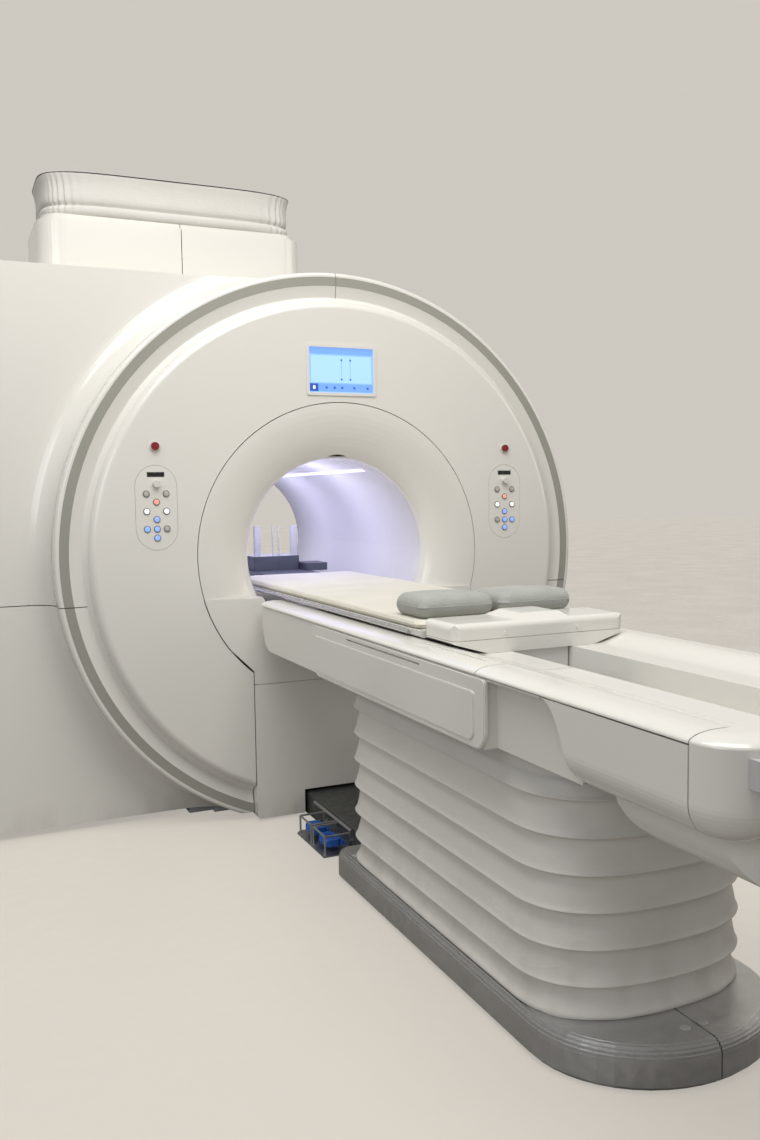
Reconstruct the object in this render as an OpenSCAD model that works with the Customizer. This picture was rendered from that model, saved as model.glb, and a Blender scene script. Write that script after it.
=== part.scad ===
// Magnetic resonance scanner: round magnet housing with a patient bore, and a patient table in front.
// X runs across the table, +Y from the table into the bore, +Z up.
// The origin lies on the floor under the centre of the magnet. All sizes are in millimetres.

/* [Bore and front disc] */
// Height of the bore axis above the floor
iso_h = 975; // [940:5:1010]
// Radius of the patient bore
bore_r = 355; // [345:1:360]
// Distance from the centre to the face of the front disc
front_d = 800; // [780:5:850]
// Radius of the seam between the mouth and the front disc
mouth_r = 557; // [520:1:580]
// Depth of the flared mouth
mouth_depth = 78; // [60:1:100]
// Radius of the disc's rounded shoulder
disc_round = 30; // [15:1:40]
// Depth of the valley between disc and ring
valley_d = 50; // [35:1:60]
// Wall thickness of the moulded covers
skin = 5; // [4:0.5:8]
// Visible seam between neighbouring covers
seam = 3; // [2:0.5:4]
// Small clearance between a piece and its seat
fit = 0.3; // [0.2:0.05:0.5]

/* [Ring] */
// How far the ring stands out past the body
ring_proud = 12; // [8:1:16]
// Width of the ring from the disc to its rim
ring_band = 109; // [104:1:114]
// How far the ring's face lies behind the disc's face
ring_drop = 40; // [34:1:44]
// Distance from the ring's rim to the grey stripe
stripe_in = 17; // [17:1:24]
// Width of the grey stripe
stripe_w = 32; // [24:1:40]
// Depth of the stripe's groove
stripe_d = 3; // [2:0.5:5]
// Radius of the ring's rounded rim
rim_round = 13; // [8:1:16]
// How far the disc's side slopes out on its way down to the valley
disc_flare = 17; // [10:1:20]
// Width of the valley's floor beside the disc's side
valley_w = 4; // [2:1:10]

/* [Body] */
// Distance from the bore axis to the left side of the body
body_left = 1280; // [1240:10:1400]
// Radius of the body's right side and top about the bore axis
body_r = 1024; // [1015:1:1030]
// Radius of the top left corner
corner_r = 120; // [60:5:160]
// Distance from the centre to the left body's front face
side_d = 600; // [580:5:640]
// Radius of the hollow between the ring and the left body
fillet_r = 90; // [60:5:100]
// Distance from the centre to the seam of the rear cover
rear_seam_d = 700; // [690:5:720]
// Distance from the centre to the face of the rear cover
rear_d = 790; // [770:5:820]
// Width of the bevel round the rear cover
rear_bevel = 45; // [20:5:60]
// Height of the level seam in the covers
split_z = 822; // [800:1:900]
// Gap between the covers and the floor
floor_gap = 24; // [15:1:30]

/* [Docking cover] */
// Half of the docking cover's width
dock_half = 361; // [350:1:380]
// Height of the ledge under the mouth
ledge_z = 825; // [815:1:830]
// Height of the seam between the two docking covers
dock_seam_z = 508; // [450:1:540]
// Height at which the docking cover widens to the mouth
dock_shoulder_z = 558; // [545:1:600]
// Gap between the docking cover and the floor
dock_gap = 9; // [6:1:20]
// Depth of the docking cover
dock_depth = 60; // [45:5:90]

/* [Turret] */
// Left edge of the turret
turret_left = 1000; // [950:5:1050]
// Right edge of the turret
turret_right = 46; // [20:1:80]
// Distance from the centre forward to the turret's front
turret_front = 300; // [260:5:340]
// Depth of the turret
turret_depth = 500; // [460:5:540]
// Height of the turret's walls above the body
turret_h = 241; // [200:1:280]
// Height of the stepped ledge on the turret
turret_ledge = 20; // [12:1:30]
// How far the ledge is set in
turret_inset = 20; // [14:1:30]
// Radius of the turret's upright corners
turret_corner = 100; // [60:5:140]
// Place of the turret's upright seam, to the left of the bore axis
turret_split = 464; // [440:1:490]
// Height of the fabric shroud above the turret's walls
shroud_h = 192; // [160:2:240]
// Depth of the shroud's gathers
gather = 7; // [2:1:12]

/* [Display and controls] */
// Width of the lit display
screen_w = 258; // [220:1:280]
// Height of the lit display
screen_h = 168; // [150:1:180]
// Height of the display's centre above the floor
screen_z = 1649; // [1630:1:1670]
// Width of the display's bezel
bezel = 9; // [6:1:16]
// Distance of the control panels from the bore axis
panel_x = 695; // [690:1:710]
// Height of the control panels' centres
panel_z = 1156; // [1130:1:1180]
// Width of a control panel
panel_w = 143; // [140:1:152]
// Height of a control panel
panel_h = 292; // [280:1:300]
// Radius of a key
key_r = 11.5; // [9:0.5:13]
// How far the keys stand out of the panel
key_proud = 2.5; // [1:0.5:4]
// Radius of the selector knob
knob_r = 12; // [10:0.5:14]
// Length of the selector knob's grip
knob_len = 16; // [10:1:20]
// Height of the stop buttons
stop_z = 1367; // [1350:1:1390]
// Radius of a stop button
stop_r = 13.5; // [10:0.5:16]
// Travel of a stop button
stop_travel = 4; // [2:0.5:5]

/* [Magnet] */
// Outer radius of the magnet vessel
vessel_r = 880; // [860:5:890]
// Half of the magnet vessel's length
vessel_half = 680; // [650:5:685]
// Radius of the magnet vessel's warm bore
warm_r = 470; // [460:1:480]
// Radial thickness of the gradient coil
gradient_t = 75; // [60:1:80]
// Half of the gradient coil's length
gradient_half = 640; // [600:5:670]
// Wall of the bore liner
liner_t = 6; // [4:1:8]
// Wall of the body coil's former
coil_t = 4; // [3:0.5:5]
// Number of rungs on the body coil
coil_rungs = 16; // [8:2:24]
// Height of the flat bridge in the bottom of the bore
bridge_z = 738; // [720:1:742]
// Half of the width of the magnet frame's rails from the axis
frame_half = 520; // [460:5:560]

/* [Table top] */
// Gap between the gantry's front disc and the table's nose
nose_gap = 48; // [40:1:80]
// Length of the table
table_len = 2297; // [2250:1:2400]
// Half of the table's width
table_half = 345; // [340:1:350]
// Height of the side rails' crown
crown_z = 818; // [816:1:822]
// Height of the side rails' rounded outer edge
crown_r = 16; // [12:1:16]
// Width of the side rails' rounded outer edge
crown_w = 55; // [40:1:60]
// Height of the deck between the rails
deck_z = 795; // [790:1:798]
// Width of a side rail
rail_w = 70; // [62:1:75]
// Width of the slope from a side rail down to the deck
slope_w = 110; // [100:1:115]
// Half of the width of the slot for the couch's stalk
slot_half = 90; // [80:1:100]
// Height of the slot's floor
slot_z = 705; // [695:1:720]
// Height of the seam under the side rails
rail_seam_z = 799; // [797:0.5:800]
// Height of the table's underside
belly_z = 645; // [640:1:655]
// Radius of the nose's lower front edge
nose_round = 85; // [50:1:100]
// Length of the foot cover along its upper edge, with the end cap
foot_len = 507; // [480:1:520]
// Distance from the foot cover's upper corner to the cross seam of the left rail
cross_seam = 248; // [230:1:260]
// Length of the recess behind the side panel
recess_len = 208; // [195:1:215]
// Depth of the recess behind the side panel
recess_d = 28; // [15:1:35]
// How far the foot cover's front edge runs back on its way down
step_slant = 104; // [60:2:110]
// Radius of the foot cover's and the end cap's lower edge
belly_round = 62; // [45:1:68]
// Length of the end cap
cap_len = 88; // [88:1:120]
// Plan radius of the end cap's corners
cap_round = 84; // [70:1:87]

/* [Side panels] */
// Distance from the nose to a side panel
panel_at = 546; // [500:2:600]
// Length of a side panel
side_panel_len = 1043; // [1000:2:1060]
// Height of a side panel's top edge
side_panel_top = 796; // [792:0.5:796]
// Height of a side panel
side_panel_h = 155; // [140:1:156]
// How far a side panel stands out
side_panel_t = 12; // [9:1:16]
// Radius of a side panel's lower corners
side_panel_r = 40; // [25:1:50]
// Width of the panel's border over its raised field
panel_border = 31; // [25:1:34]
// Distance from the panel's front to the long slot over its raised field
slot_at = 270; // [200:5:300]
// Length of the long slot
slot_len = 465; // [400:1:500]
// Distance from the nose to the groove in the top of the left rail
groove_at = 1200; // [1150:5:1220]
// Length of the groove
groove_len = 290; // [250:5:300]

/* [Foot cover and handle] */
// Half of the width of the keel under the foot cover
keel_half = 250; // [220:5:270]
// Height of the keel's lowest point
keel_z = 548; // [545:1:600]
// Height of the handle's centre
handle_z = 768; // [750:1:772]
// Height of the handle's section
handle_h = 46; // [30:1:50]
// Gap for the fingers behind the handle
handle_gap = 30; // [25:1:40]
// Thickness of the handle's bar
handle_t = 18; // [14:1:24]
// Half of the handle's length
handle_half = 300; // [280:2:325]

/* [Couch] */
// Half of the couch top's width
couch_half = 262; // [250:1:266]
// Thickness of the couch top
couch_t = 18; // [15:0.5:22]
// Gap between the rails' crown and the couch top
couch_gap = 1.3; // [1:0.1:3]
// Distance of the couch's runners from its middle
runner_x = 128; // [118:1:140]
// Distance from the centre to the head end of the couch top, away from the table
couch_head = 300; // [260:10:400]
// Distance from the front disc to the foot end of the couch top
couch_foot = 1164; // [1150:1:1200]
// Thickness of the mattress
pad_t = 22; // [15:1:30]
// Half of the mattress's width
pad_half = 254; // [240:1:256]
// Distance from the centre to the mattress's head end, towards the table
pad_head = 230; // [200:10:300]
// Length of the mattress
pad_len = 1700; // [1600:10:1720]
// Length of the bolster
bolster_len = 175; // [150:5:200]
// Height of the bolster
bolster_h = 62; // [50:1:80]
// Radius of the accessory rods beside the couch
rod_r = 5.5; // [4:0.5:7]
// Length of the connector box along the couch
box_len = 164; // [150:1:180]
// Half of the connector box's width
box_half = 256; // [240:1:262]
// Height of the connector box's base
box_base_h = 10; // [9:0.5:14]
// Half of the width of the connector box's foot
box_foot = 160; // [145:1:162]
// Height of the connector box's cover
box_cover_h = 42; // [34:1:50]
// Height of the hump on the connector box's cover
box_hump = 15; // [8:1:20]
// Half of the head coil's width
coil_half = 107; // [95:1:115]
// Height of the head coil's base
coil_h = 64; // [50:1:80]
// Height of the head coil's posts above its base
post_h = 135; // [100:1:150]

/* [Base and bellows] */
// Half of the base's width
base_half = 295; // [290:1:305]
// Height of the base
base_h = 90; // [80:1:100]
// Radius of the base's top edge
base_round = 26; // [15:1:30]
// Distance from the front disc to the back of the base
base_at = 600; // [580:5:640]
// Length of the base
base_len = 1372; // [1340:2:1400]
// Depth of the base's rounded near end
base_nose = 250; // [200:5:290]
// Half of the bellows' width at a ridge
ridge_half = 284; // [275:1:287]
// Depth of the bellows' folds
fold_d = 17; // [12:1:22]
// Height of the lowest ridge of the bellows
fold_first_z = 162; // [150:1:170]
// Distance between ridges
fold_pitch = 79.4; // [76:0.2:81]
// Number of ridges
fold_count = 6; // [4:1:6]
// Distance from the back of the base to the back of the bellows
bellows_at = 45; // [35:5:80]
// Length of the bellows at a ridge
bellows_len = 1190; // [1150:5:1200]
// Depth of the bellows' rounded ends
bellows_round = 212; // [200:2:240]
// Side of the lift's outer columns
column_w = 200; // [160:5:220]
// Height of the lift's outer columns
column_h = 420; // [380:5:440]
// Distance between the lift's two columns
column_pitch = 650; // [600:5:700]

/* [Floor duct and pedals] */
// Half of the floor duct's width
duct_half = 165; // [150:1:175]
// Height of the floor duct
duct_h = 84; // [70:1:90]
// Clearance round the duct in the docking cover
duct_clear = 13; // [8:1:20]
// Distance from the front disc to the pedals' plate
plate_at = 178; // [160:2:220]
// Length of the pedals' plate
plate_len = 280; // [270:2:300]
// Width of the pedals' plate
plate_w = 112; // [105:1:120]
// Length of a pedal
pedal_len = 96; // [80:1:104]
// Width of a pedal
pedal_w = 66; // [56:1:70]
// Thickness of a pedal
pedal_t = 24; // [18:1:28]
// Distance between the pedals' centres
pedal_pitch = 132; // [124:1:136]

/* [Hidden] */

shell_white = [0.90, 0.89, 0.86];
warm_grey = [0.57, 0.55, 0.50];
vinyl_white = [0.84, 0.82, 0.78];
base_silver = [0.48, 0.48, 0.46];
steel_grey = [0.55, 0.56, 0.57];
dark_grey = [0.22, 0.22, 0.24];
pad_cream = [0.86, 0.83, 0.72];
foam_grey = [0.50, 0.52, 0.50];
pedal_blue = [0.06, 0.33, 0.78];
stop_red = [0.78, 0.10, 0.08];
copper = [0.72, 0.45, 0.25];

big = 6000;
round_fn = 168;
small_fn = 32;
arc_steps = 12;

body_top = iso_h + body_r;
turret_z = body_top + turret_h;
shroud_z = turret_z + shroud_h;
ring_r = body_r + ring_proud;
disc_r = ring_r - ring_band;
stripe_r = ring_r - stripe_in;
side_x = table_half - 5;
ring_h = front_d - ring_drop;
valley_h = front_d - valley_d;
ring_back = side_d + fillet_r;
nose_y = -front_d - nose_gap;
end_y = nose_y - table_len;
cap_y = end_y + cap_len;
step_y = end_y + foot_len;
recess_y = step_y + recess_len;
cross_y = step_y + cross_seam;
side_top = rail_seam_z - seam / 2;
rail_low = rail_seam_z + seam / 2;
base_y = -front_d - base_at;
bellows_y = base_y - bellows_at;
couch_z = crown_z + couch_gap;
under_slot = slot_z - skin - fit;
couch_top_z = couch_z + couch_t;
couch_foot_y = -front_d - couch_foot;
box_y = couch_foot_y - fit - box_len;

// Points of a round stretch about a centre, from one angle to another
function arc(cx, cy, r, from, to, n = arc_steps) =
    [for (i = [0:n]) let (a = from + (to - from) * i / n) [cx + r * cos(a), cy + r * sin(a)]];

// Outline of a rectangle with round corners, centred
function round_rect(w, h, r) = concat(
    arc(w / 2 - r, h / 2 - r, r, 0, 90), arc(-w / 2 + r, h / 2 - r, r, 90, 180),
    arc(-w / 2 + r, -h / 2 + r, r, 180, 270), arc(w / 2 - r, -h / 2 + r, r, 270, 360));

// Turns a profile of radius and distance before the magnet's centre about the bore axis
module about_bore(profile, fn = round_fn) {
    translate([0, 0, iso_h]) rotate([90, 0, 0]) rotate_extrude($fn = fn) polygon(profile);
}

// Carries an outline drawn in X and Z from y0 to y1
module along_y(y0, y1) {
    translate([0, y1, 0]) rotate([90, 0, 0]) linear_extrude(y1 - y0) children();
}

// Carries an outline drawn in Y and Z from x0 to x1
module along_x(x0, x1) {
    translate([x0, 0, 0]) rotate([90, 0, 90]) linear_extrude(x1 - x0) children();
}

// Carries an outline drawn in X and Y from z0 to z1
module along_z(z0, z1) {
    translate([0, 0, z0]) linear_extrude(z1 - z0) children();
}

// A box given by its lowest and highest corner
module box(low, high) {
    translate(low) cube(high - low);
}

// Puts its children on the left for -1 and on the right for 1
module on_side(side) {
    if (side < 0) mirror([1, 0, 0]) children();
    else children();
}

// Round bar along Y at a place given in X and Z
module bar_y(x, z, r, y0, y1, fn = small_fn) {
    translate([x, y1, z]) rotate([90, 0, 0]) cylinder(h = y1 - y0, r = r, $fn = fn);
}

// Outline of the docking cover, seen from the front
module dock_outline(grow = 0) {
    reach = mouth_r + grow;
    difference() {
        union() {
            intersection() {
                translate([0, iso_h]) circle(r = reach, $fn = round_fn);
                translate([-big, dock_shoulder_z]) square([2 * big, ledge_z - dock_shoulder_z]);
            }
            translate([-dock_half - grow, dock_gap]) square([2 * (dock_half + grow),
                dock_shoulder_z - dock_gap + 1]);
        }
        for (side = [-1, 1])
            polygon([[side * (dock_half + grow), dock_shoulder_z - 1], [side * big, dock_shoulder_z - 1],
                     [side * big, dock_chamfer_z], [side * (dock_chamfer_x + grow), dock_chamfer_z]]);
    }
}
dock_chamfer_z = dock_shoulder_z + 82;
dock_chamfer_x = sqrt(pow(mouth_r, 2) - pow(iso_h - dock_chamfer_z, 2));

// Solid of the front disc, inset by t on its outside
module disc_solid(t) {
    about_bore(concat([[mouth_r + seam / 2 + t, ring_back], [mouth_r + seam / 2 + t, front_d - t],
                       [disc_r - disc_round, front_d - t]],
                      arc(disc_r - disc_round, front_d - disc_round, disc_round - t, 90, 0),
                      [[disc_r + disc_flare - t, valley_h + fit], [disc_r + disc_flare - t, ring_back]]));
}

module stadium(w, h) {
    polygon(concat(arc(0, h / 2 - w / 2, w / 2, 0, 180), arc(0, -h / 2 + w / 2, w / 2, 180, 360)));
}

module front_cover() {
    color(shell_white) difference() {
        disc_solid(0);
        disc_solid(skin);
        translate([-big, -valley_h - fit, 0]) cube([2 * big, big, big]);
        along_y(-big, 0) dock_outline(seam);
        box([-big, -big, -big], [big, big, floor_gap]);
        along_y(-big, 0) translate([0, screen_z])
            polygon(round_rect(screen_w + 2 * fit, screen_h + 2 * fit, 6));
        for (side = [-1, 1]) {
            along_y(-big, 0) translate([side * panel_x, panel_z]) stadium(panel_w + 2, panel_h + 2);
            bar_y(side * panel_x, stop_z, stop_stem + fit, -big, 0);
        }
    }
    color(shell_white) for (side = [-1, 1]) difference() {
        bar_y(side * panel_x, stop_z, stop_r + 5, -front_d - 4, -front_d + skin / 2);
        bar_y(side * panel_x, stop_z, stop_r + 0.5, -big, -front_d);
        bar_y(side * panel_x, stop_z, stop_stem + fit, -big, 0);
    }
}
stop_stem = 5;

// Profile of the ring from its tongue under the disc outwards, inset by t
function ring_profile(t) = concat(
    [[disc_r, ring_back], [disc_r, valley_h - t], [disc_r + disc_flare + valley_w, valley_h - t],
     [stripe_r - stripe_w, ring_h - t], [stripe_r - stripe_w, ring_h - stripe_d - t],
     [stripe_r, ring_h - stripe_d - t], [stripe_r, ring_h - t], [ring_r - rim_round, ring_h - t]],
    arc(ring_r - rim_round, ring_h - rim_round, rim_round - t, 90, 0),
    [[ring_r - t, ring_back]]);

// Whole ring as a shell, cut off above the floor and beside the docking cover
module ring_shell() {
    difference() {
        about_bore(ring_profile(0));
        difference() {
            about_bore(ring_profile(skin));
            about_bore([[0, ring_back], [0, big], [disc_r + skin, big], [disc_r + skin, ring_back]]);
        }
        box([-big, -big, -big], [big, big, floor_gap]);
        box([-dock_half - seam, -big, -big], [dock_half + seam, big, iso_h]);
    }
}

// Part of the ring: side is -1 for left, level is -1 for lower
module ring_part(side, level) {
    color(shell_white) intersection() {
        ring_shell();
        box([side < 0 ? -big : seam / 2, -big, level < 0 ? -big : split_z + seam / 2],
            [side < 0 ? -seam / 2 : big, big, level < 0 ? split_z - seam / 2 : big]);
    }
}

module ring_cover_upper_left() { ring_part(-1, 1); }
module ring_cover_upper_right() { ring_part(1, 1); }
module ring_cover_lower_left() { ring_part(-1, -1); }
module ring_cover_lower_right() { ring_part(1, -1); }

module stripe_trim() {
    color(warm_grey) difference() {
        about_bore([[stripe_r - stripe_w + fit, ring_h - stripe_d + fit], [stripe_r - fit,
            ring_h - stripe_d + fit],
                    [stripe_r - fit, ring_h + 0.5], [stripe_r - stripe_w + fit, ring_h + 0.5]]);
        box([-big, -big, -big], [big, big, floor_gap]);
        box([-dock_half - seam, -big, -big], [dock_half + seam, big, iso_h]);
        box([-seam / 2, -big, iso_h], [seam / 2, big, big]);
        box([-big, -big, split_z - seam / 2], [big, big, split_z + seam / 2]);
    }
}

// Quarter of an ellipse from the mouth's seam to the bore, inset by t
function mouth_curve(r_out, r_in, face, depth, t) =
    [for (i = [0:14]) let (a = 90 * i / 14)
        [r_out - (r_out - r_in - t) * sin(a), face - depth + (depth - t) * cos(a)]];

module mouth_funnel() {
    outer = mouth_r - seam / 2;
    neck = front_d - mouth_depth - 22;
    color(shell_white) difference() {
        union() {
            about_bore(concat(mouth_curve(outer, bore_r, front_d, mouth_depth, 0),
                              [[bore_r, neck], [bore_r + skin, neck]],
                              reversed(mouth_curve(outer, bore_r, front_d, mouth_depth, skin))));
            about_bore([[outer - skin, front_d - 1], [outer - skin, valley_h - skin], [mouth_r + 14,
                valley_h - skin],
                        [mouth_r + 14, valley_h], [outer, valley_h], [outer, front_d - 1]]);
        }
        box([-big, -big, -big], [big, big, ledge_z + fit]);
        along_z(iso_h + bore_r - 4, iso_h + bore_r + 60) translate([0,
            -front_d + mouth_depth - 18]) lens(86, 18);
    }
}

// Lens-shaped outline
module lens(w, h) {
    r = (w * w / 4 + h * h / 4) / h;
    intersection() {
        translate([0, h / 2 - r]) circle(r = r, $fn = round_fn);
        translate([0, r - h / 2]) circle(r = r, $fn = round_fn);
    }
}

module dock_cover_upper() {
    color(shell_white) difference() {
        along_y(-front_d - 4, -front_d + mouth_depth + 22 - fit) difference() {
            dock_outline();
            translate([-big, 0]) square([2 * big, dock_seam_z + seam / 2]);
            translate([0, iso_h]) circle(r = bore_r, $fn = round_fn);
        }
        along_y(-front_d - 4 + skin, big) difference() {
            dock_outline(-skin);
            translate([-big, 0]) square([2 * big, dock_seam_z - big]);
            translate([-big, ledge_z - skin]) square([2 * big, big]);
            translate([0, iso_h]) circle(r = bore_r + skin, $fn = round_fn);
        }
    }
}

module dock_cover_lower() {
    color(shell_white) difference() {
        union() {
            along_y(-front_d - 4, -front_d + dock_depth) dock_lower_outline(0);
            along_y(-front_d - 4 + skin + fit, -front_d - 4 + 2 * skin)
                translate([-dock_half + 2 * skin,
                    dock_seam_z - 20]) square([2 * (dock_half - 2 * skin), 36]);
        }
        along_y(-front_d - 4 + skin, big) difference() {
            dock_lower_outline(skin);
            translate([-dock_half, dock_seam_z - 24]) square([2 * dock_half, 60]);
        }
    }
}

// Outline of the lower docking cover with its notch for the duct, inset by t
module dock_lower_outline(t) {
    polygon(concat(
        arc(-dock_half + 14, dock_gap + 14, 14 - t, 180, 270),
        [[-duct_half - duct_clear - t, dock_gap + t], [-duct_half - duct_clear - t,
            duct_h + duct_clear + t],
         [duct_half + duct_clear + t, duct_h + duct_clear + t], [duct_half + duct_clear + t,
             dock_gap + t]],
        arc(dock_half - 14, dock_gap + 14, 14 - t, 270, 360),
        [[dock_half - t, dock_seam_z - seam / 2 - t], [-dock_half + t, dock_seam_z - seam / 2 - t]]));
}

// Outline of the body seen from the front, inset by t
module body_outline(t) {
    polygon(concat([[-body_left + t, floor_gap]],
                   arc(-body_left + corner_r, body_top - corner_r, corner_r - t, 180, 90),
                   arc(0, iso_h, body_r - t, 90, 0, 24),
                   [[body_r - t, floor_gap]]));
}

// Left body cover between two heights
module side_cover(z0, z1) {
    lip = ring_r + fit;
    color(shell_white) difference() {
        intersection() {
            union() {
                difference() {
                    along_y(-side_d, rear_seam_d) body_outline(0);
                    along_y(-side_d + skin, big) body_outline(skin);
                    about_bore([[0, -big], [0, big], [ring_r + fillet_r - 1, big],
                        [ring_r + fillet_r - 1, side_d - skin - 1],
                                [body_r - 60, side_d - skin - 1], [body_r - 60, side_d - skin - 40],
                                    [0, side_d - skin - 40]]);
                }
                intersection() {
                    about_bore(concat(arc(lip + fillet_r, side_d + fillet_r, fillet_r, 180, 270),
                                      arc(lip + fillet_r, side_d + fillet_r, fillet_r + skin, 270, 197)));
                    along_y(-big, big) body_outline(0);
                }
            }
            box([-big, -big, z0], [-seam / 2, big, z1]);
        }
        along_z(body_top - 2 * skin, body_top + skin)
            translate([-turret_split, turret_mid]) square([2 * cold_r + 60, 2 * cold_r + 60],
                center = true);
    }
}
turret_mid = -turret_front + turret_depth / 2;
cold_r = 110;

module side_cover_upper() { side_cover(split_z + seam / 2, big); }
module side_cover_lower() { side_cover(floor_gap, split_z - seam / 2); }

module body_cover_right() {
    color(shell_white) intersection() {
        difference() {
            along_y(-ring_back + fit, rear_seam_d) body_outline(0);
            along_y(-big, big) body_outline(skin);
        }
        box([seam / 2, -big, floor_gap], [big, big, big]);
    }
}

// Rear cover's solid with bevelled edges, inset by t
module rear_solid(t) {
    hull() {
        along_y(rear_seam_d + fit, rear_d - rear_bevel) body_outline(t);
        along_y(rear_seam_d + fit, rear_d - t) intersection() {
            body_outline(rear_bevel);
            translate([-big, floor_gap + rear_bevel]) square(2 * big);
        }
    }
}

module rear_cover() {
    mouth = bore_r + 120;
    outer = mouth_curve(mouth, bore_r, rear_d, 60, 0);
    inner = mouth_curve(mouth, bore_r, rear_d, 60, skin);
    bell = concat(outer, [[bore_r, fit - liner_back], [bore_r + skin, fit - liner_back]],
                  reversed(inner));
    color(shell_white) {
        difference() {
            rear_solid(0);
            translate([0, -skin, 0]) rear_solid(skin);
            about_bore([[0, -big], [mouth - 1, -big], [mouth - 1, 0], [0, 0]]);
        }
        about_bore([for (p = bell) [p[0], -p[1]]]);
    }
}
liner_back = -rear_d + 66;

module bore_liner() {
    front = front_d - mouth_depth - 22 - fit;
    color(shell_white) about_bore([[bore_r, liner_back], [bore_r + liner_t, liner_back],
                                   [bore_r + liner_t, front], [bore_r, front]]);
}

module rf_body_coil() {
    inner = bore_r + liner_t + fit;
    outer = warm_r - gradient_t - fit;
    half = gradient_half - 60;
    color(copper) {
        about_bore([[inner, -half], [inner + coil_t, -half], [inner + coil_t, half], [inner, half]]);
        for (end = [-1, 1])
            about_bore([[inner, end * half - 25], [outer, end * half - 25], [outer, end * half + 25],
                        [inner, end * half + 25]]);
        for (i = [0:coil_rungs - 1])
            translate([0, 0, iso_h]) rotate([0, (i + 0.5) * 360 / coil_rungs, 0])
                translate([inner + coil_t / 2, -half, -12]) cube([coil_t, 2 * half, 24]);
    }
}

module gradient_coil() {
    inner = warm_r - gradient_t;
    color(steel_grey) {
        about_bore([[inner, -gradient_half], [warm_r - 12, -gradient_half], [warm_r - 12, gradient_half],
                    [inner, gradient_half]]);
        for (end = [-1, 1])
            about_bore([[inner + 5, end * (gradient_half - 60) - 30], [warm_r - fit,
                end * (gradient_half - 60) - 30],
                        [warm_r - fit, end * (gradient_half - 60) + 30], [inner + 5,
                            end * (gradient_half - 60) + 30]]);
    }
}

module magnet_vessel() {
    edge = 40;
    color(steel_grey) {
        about_bore(concat([[warm_r, -vessel_half], [vessel_r - edge, -vessel_half]],
                          arc(vessel_r - edge, -vessel_half + edge, edge, 270, 360, 4),
                          arc(vessel_r - edge, vessel_half - edge, edge, 0, 90, 4),
                          [[warm_r, vessel_half]]));
        translate([-turret_split, turret_mid, iso_h + sqrt(pow(vessel_r, 2) - pow(turret_split, 2)) - 90])
            cylinder(h = neck_z - iso_h - sqrt(pow(vessel_r, 2) - pow(turret_split, 2)) + 90,
                r = cold_r, $fn = 64);
    }
}
neck_z = body_top - 40;

module magnet_frame() {
    beam_w = 90;
    reach = frame_half - beam_w / 2 + 1;
    saddle_z = iso_h - sqrt(pow(vessel_r + fit, 2) - pow(frame_half + beam_w / 2, 2));
    color(steel_grey) {
        for (side = [-1, 1]) difference() {
            box([side * frame_half - beam_w / 2, -vessel_half + 90, 0],
                [side * frame_half + beam_w / 2, vessel_half - 60, saddle_z]);
            about_bore([[0, -big], [vessel_r + fit, -big], [vessel_r + fit, big], [0, big]]);
        }
        for (y = [-vessel_half + 110, 0, vessel_half - 110]) difference() {
            box([-reach, y - 50, 0], [reach, y + 50, 70]);
            if (y != 0) for (side = [-1, 1])
                translate([side * anchor_x, y, -1]) cylinder(h = 80, r = anchor_r, $fn = small_fn);
        }
    }
}
anchor_x = 300;
anchor_r = 11;

// Upright walls of the turret between two places in X, with its stepped ledge
module turret_part(x0, x1) {
    w = turret_left + turret_right;
    mid_x = (turret_right - turret_left) / 2;
    color(shell_white) intersection() {
        translate([mid_x, turret_mid, 0]) difference() {
            union() {
                along_z(body_top + fit, turret_z) polygon(round_rect(w, turret_depth, turret_corner));
                along_z(turret_z - 1, turret_z + turret_ledge)
                    polygon(round_rect(w - 2 * turret_inset, turret_depth - 2 * turret_inset,
                        turret_corner - turret_inset));
            }
            along_z(-big, turret_z - skin)
                polygon(round_rect(w - 2 * skin, turret_depth - 2 * skin, turret_corner - skin));
            along_z(-big, turret_z + turret_ledge - skin)
                polygon(round_rect(w - 2 * turret_inset - 2 * skin,
                    turret_depth - 2 * turret_inset - 2 * skin,
                                   turret_corner - turret_inset - skin));
        }
        box([x0, -big, 0], [x1, big, big]);
    }
}

module turret_cover_left() { turret_part(-big, -turret_split - seam / 2); }
module turret_cover_right() { turret_part(-turret_split + seam / 2, big); }

// One ring of the shroud's gathered fabric
function shroud_ring(z, inset, depth) =
    let (w = turret_left + turret_right - 2 * inset, d = turret_depth - 2 * inset, n = 96, p = 5)
    [for (i = [0:n - 1]) let (a = 360 * i / n, c = cos(a), s = sin(a),
        wave = depth * (sin(a * 21 + z * 0.9) * 0.55 + sin(a * 34 - z * 0.5) * 0.45))
        [(turret_right - turret_left) / 2 + (w / 2 + wave) * sign(c) * pow(abs(c), 2 / p),
         turret_mid + (d / 2 + wave) * sign(s) * pow(abs(s), 2 / p), z]];

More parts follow.
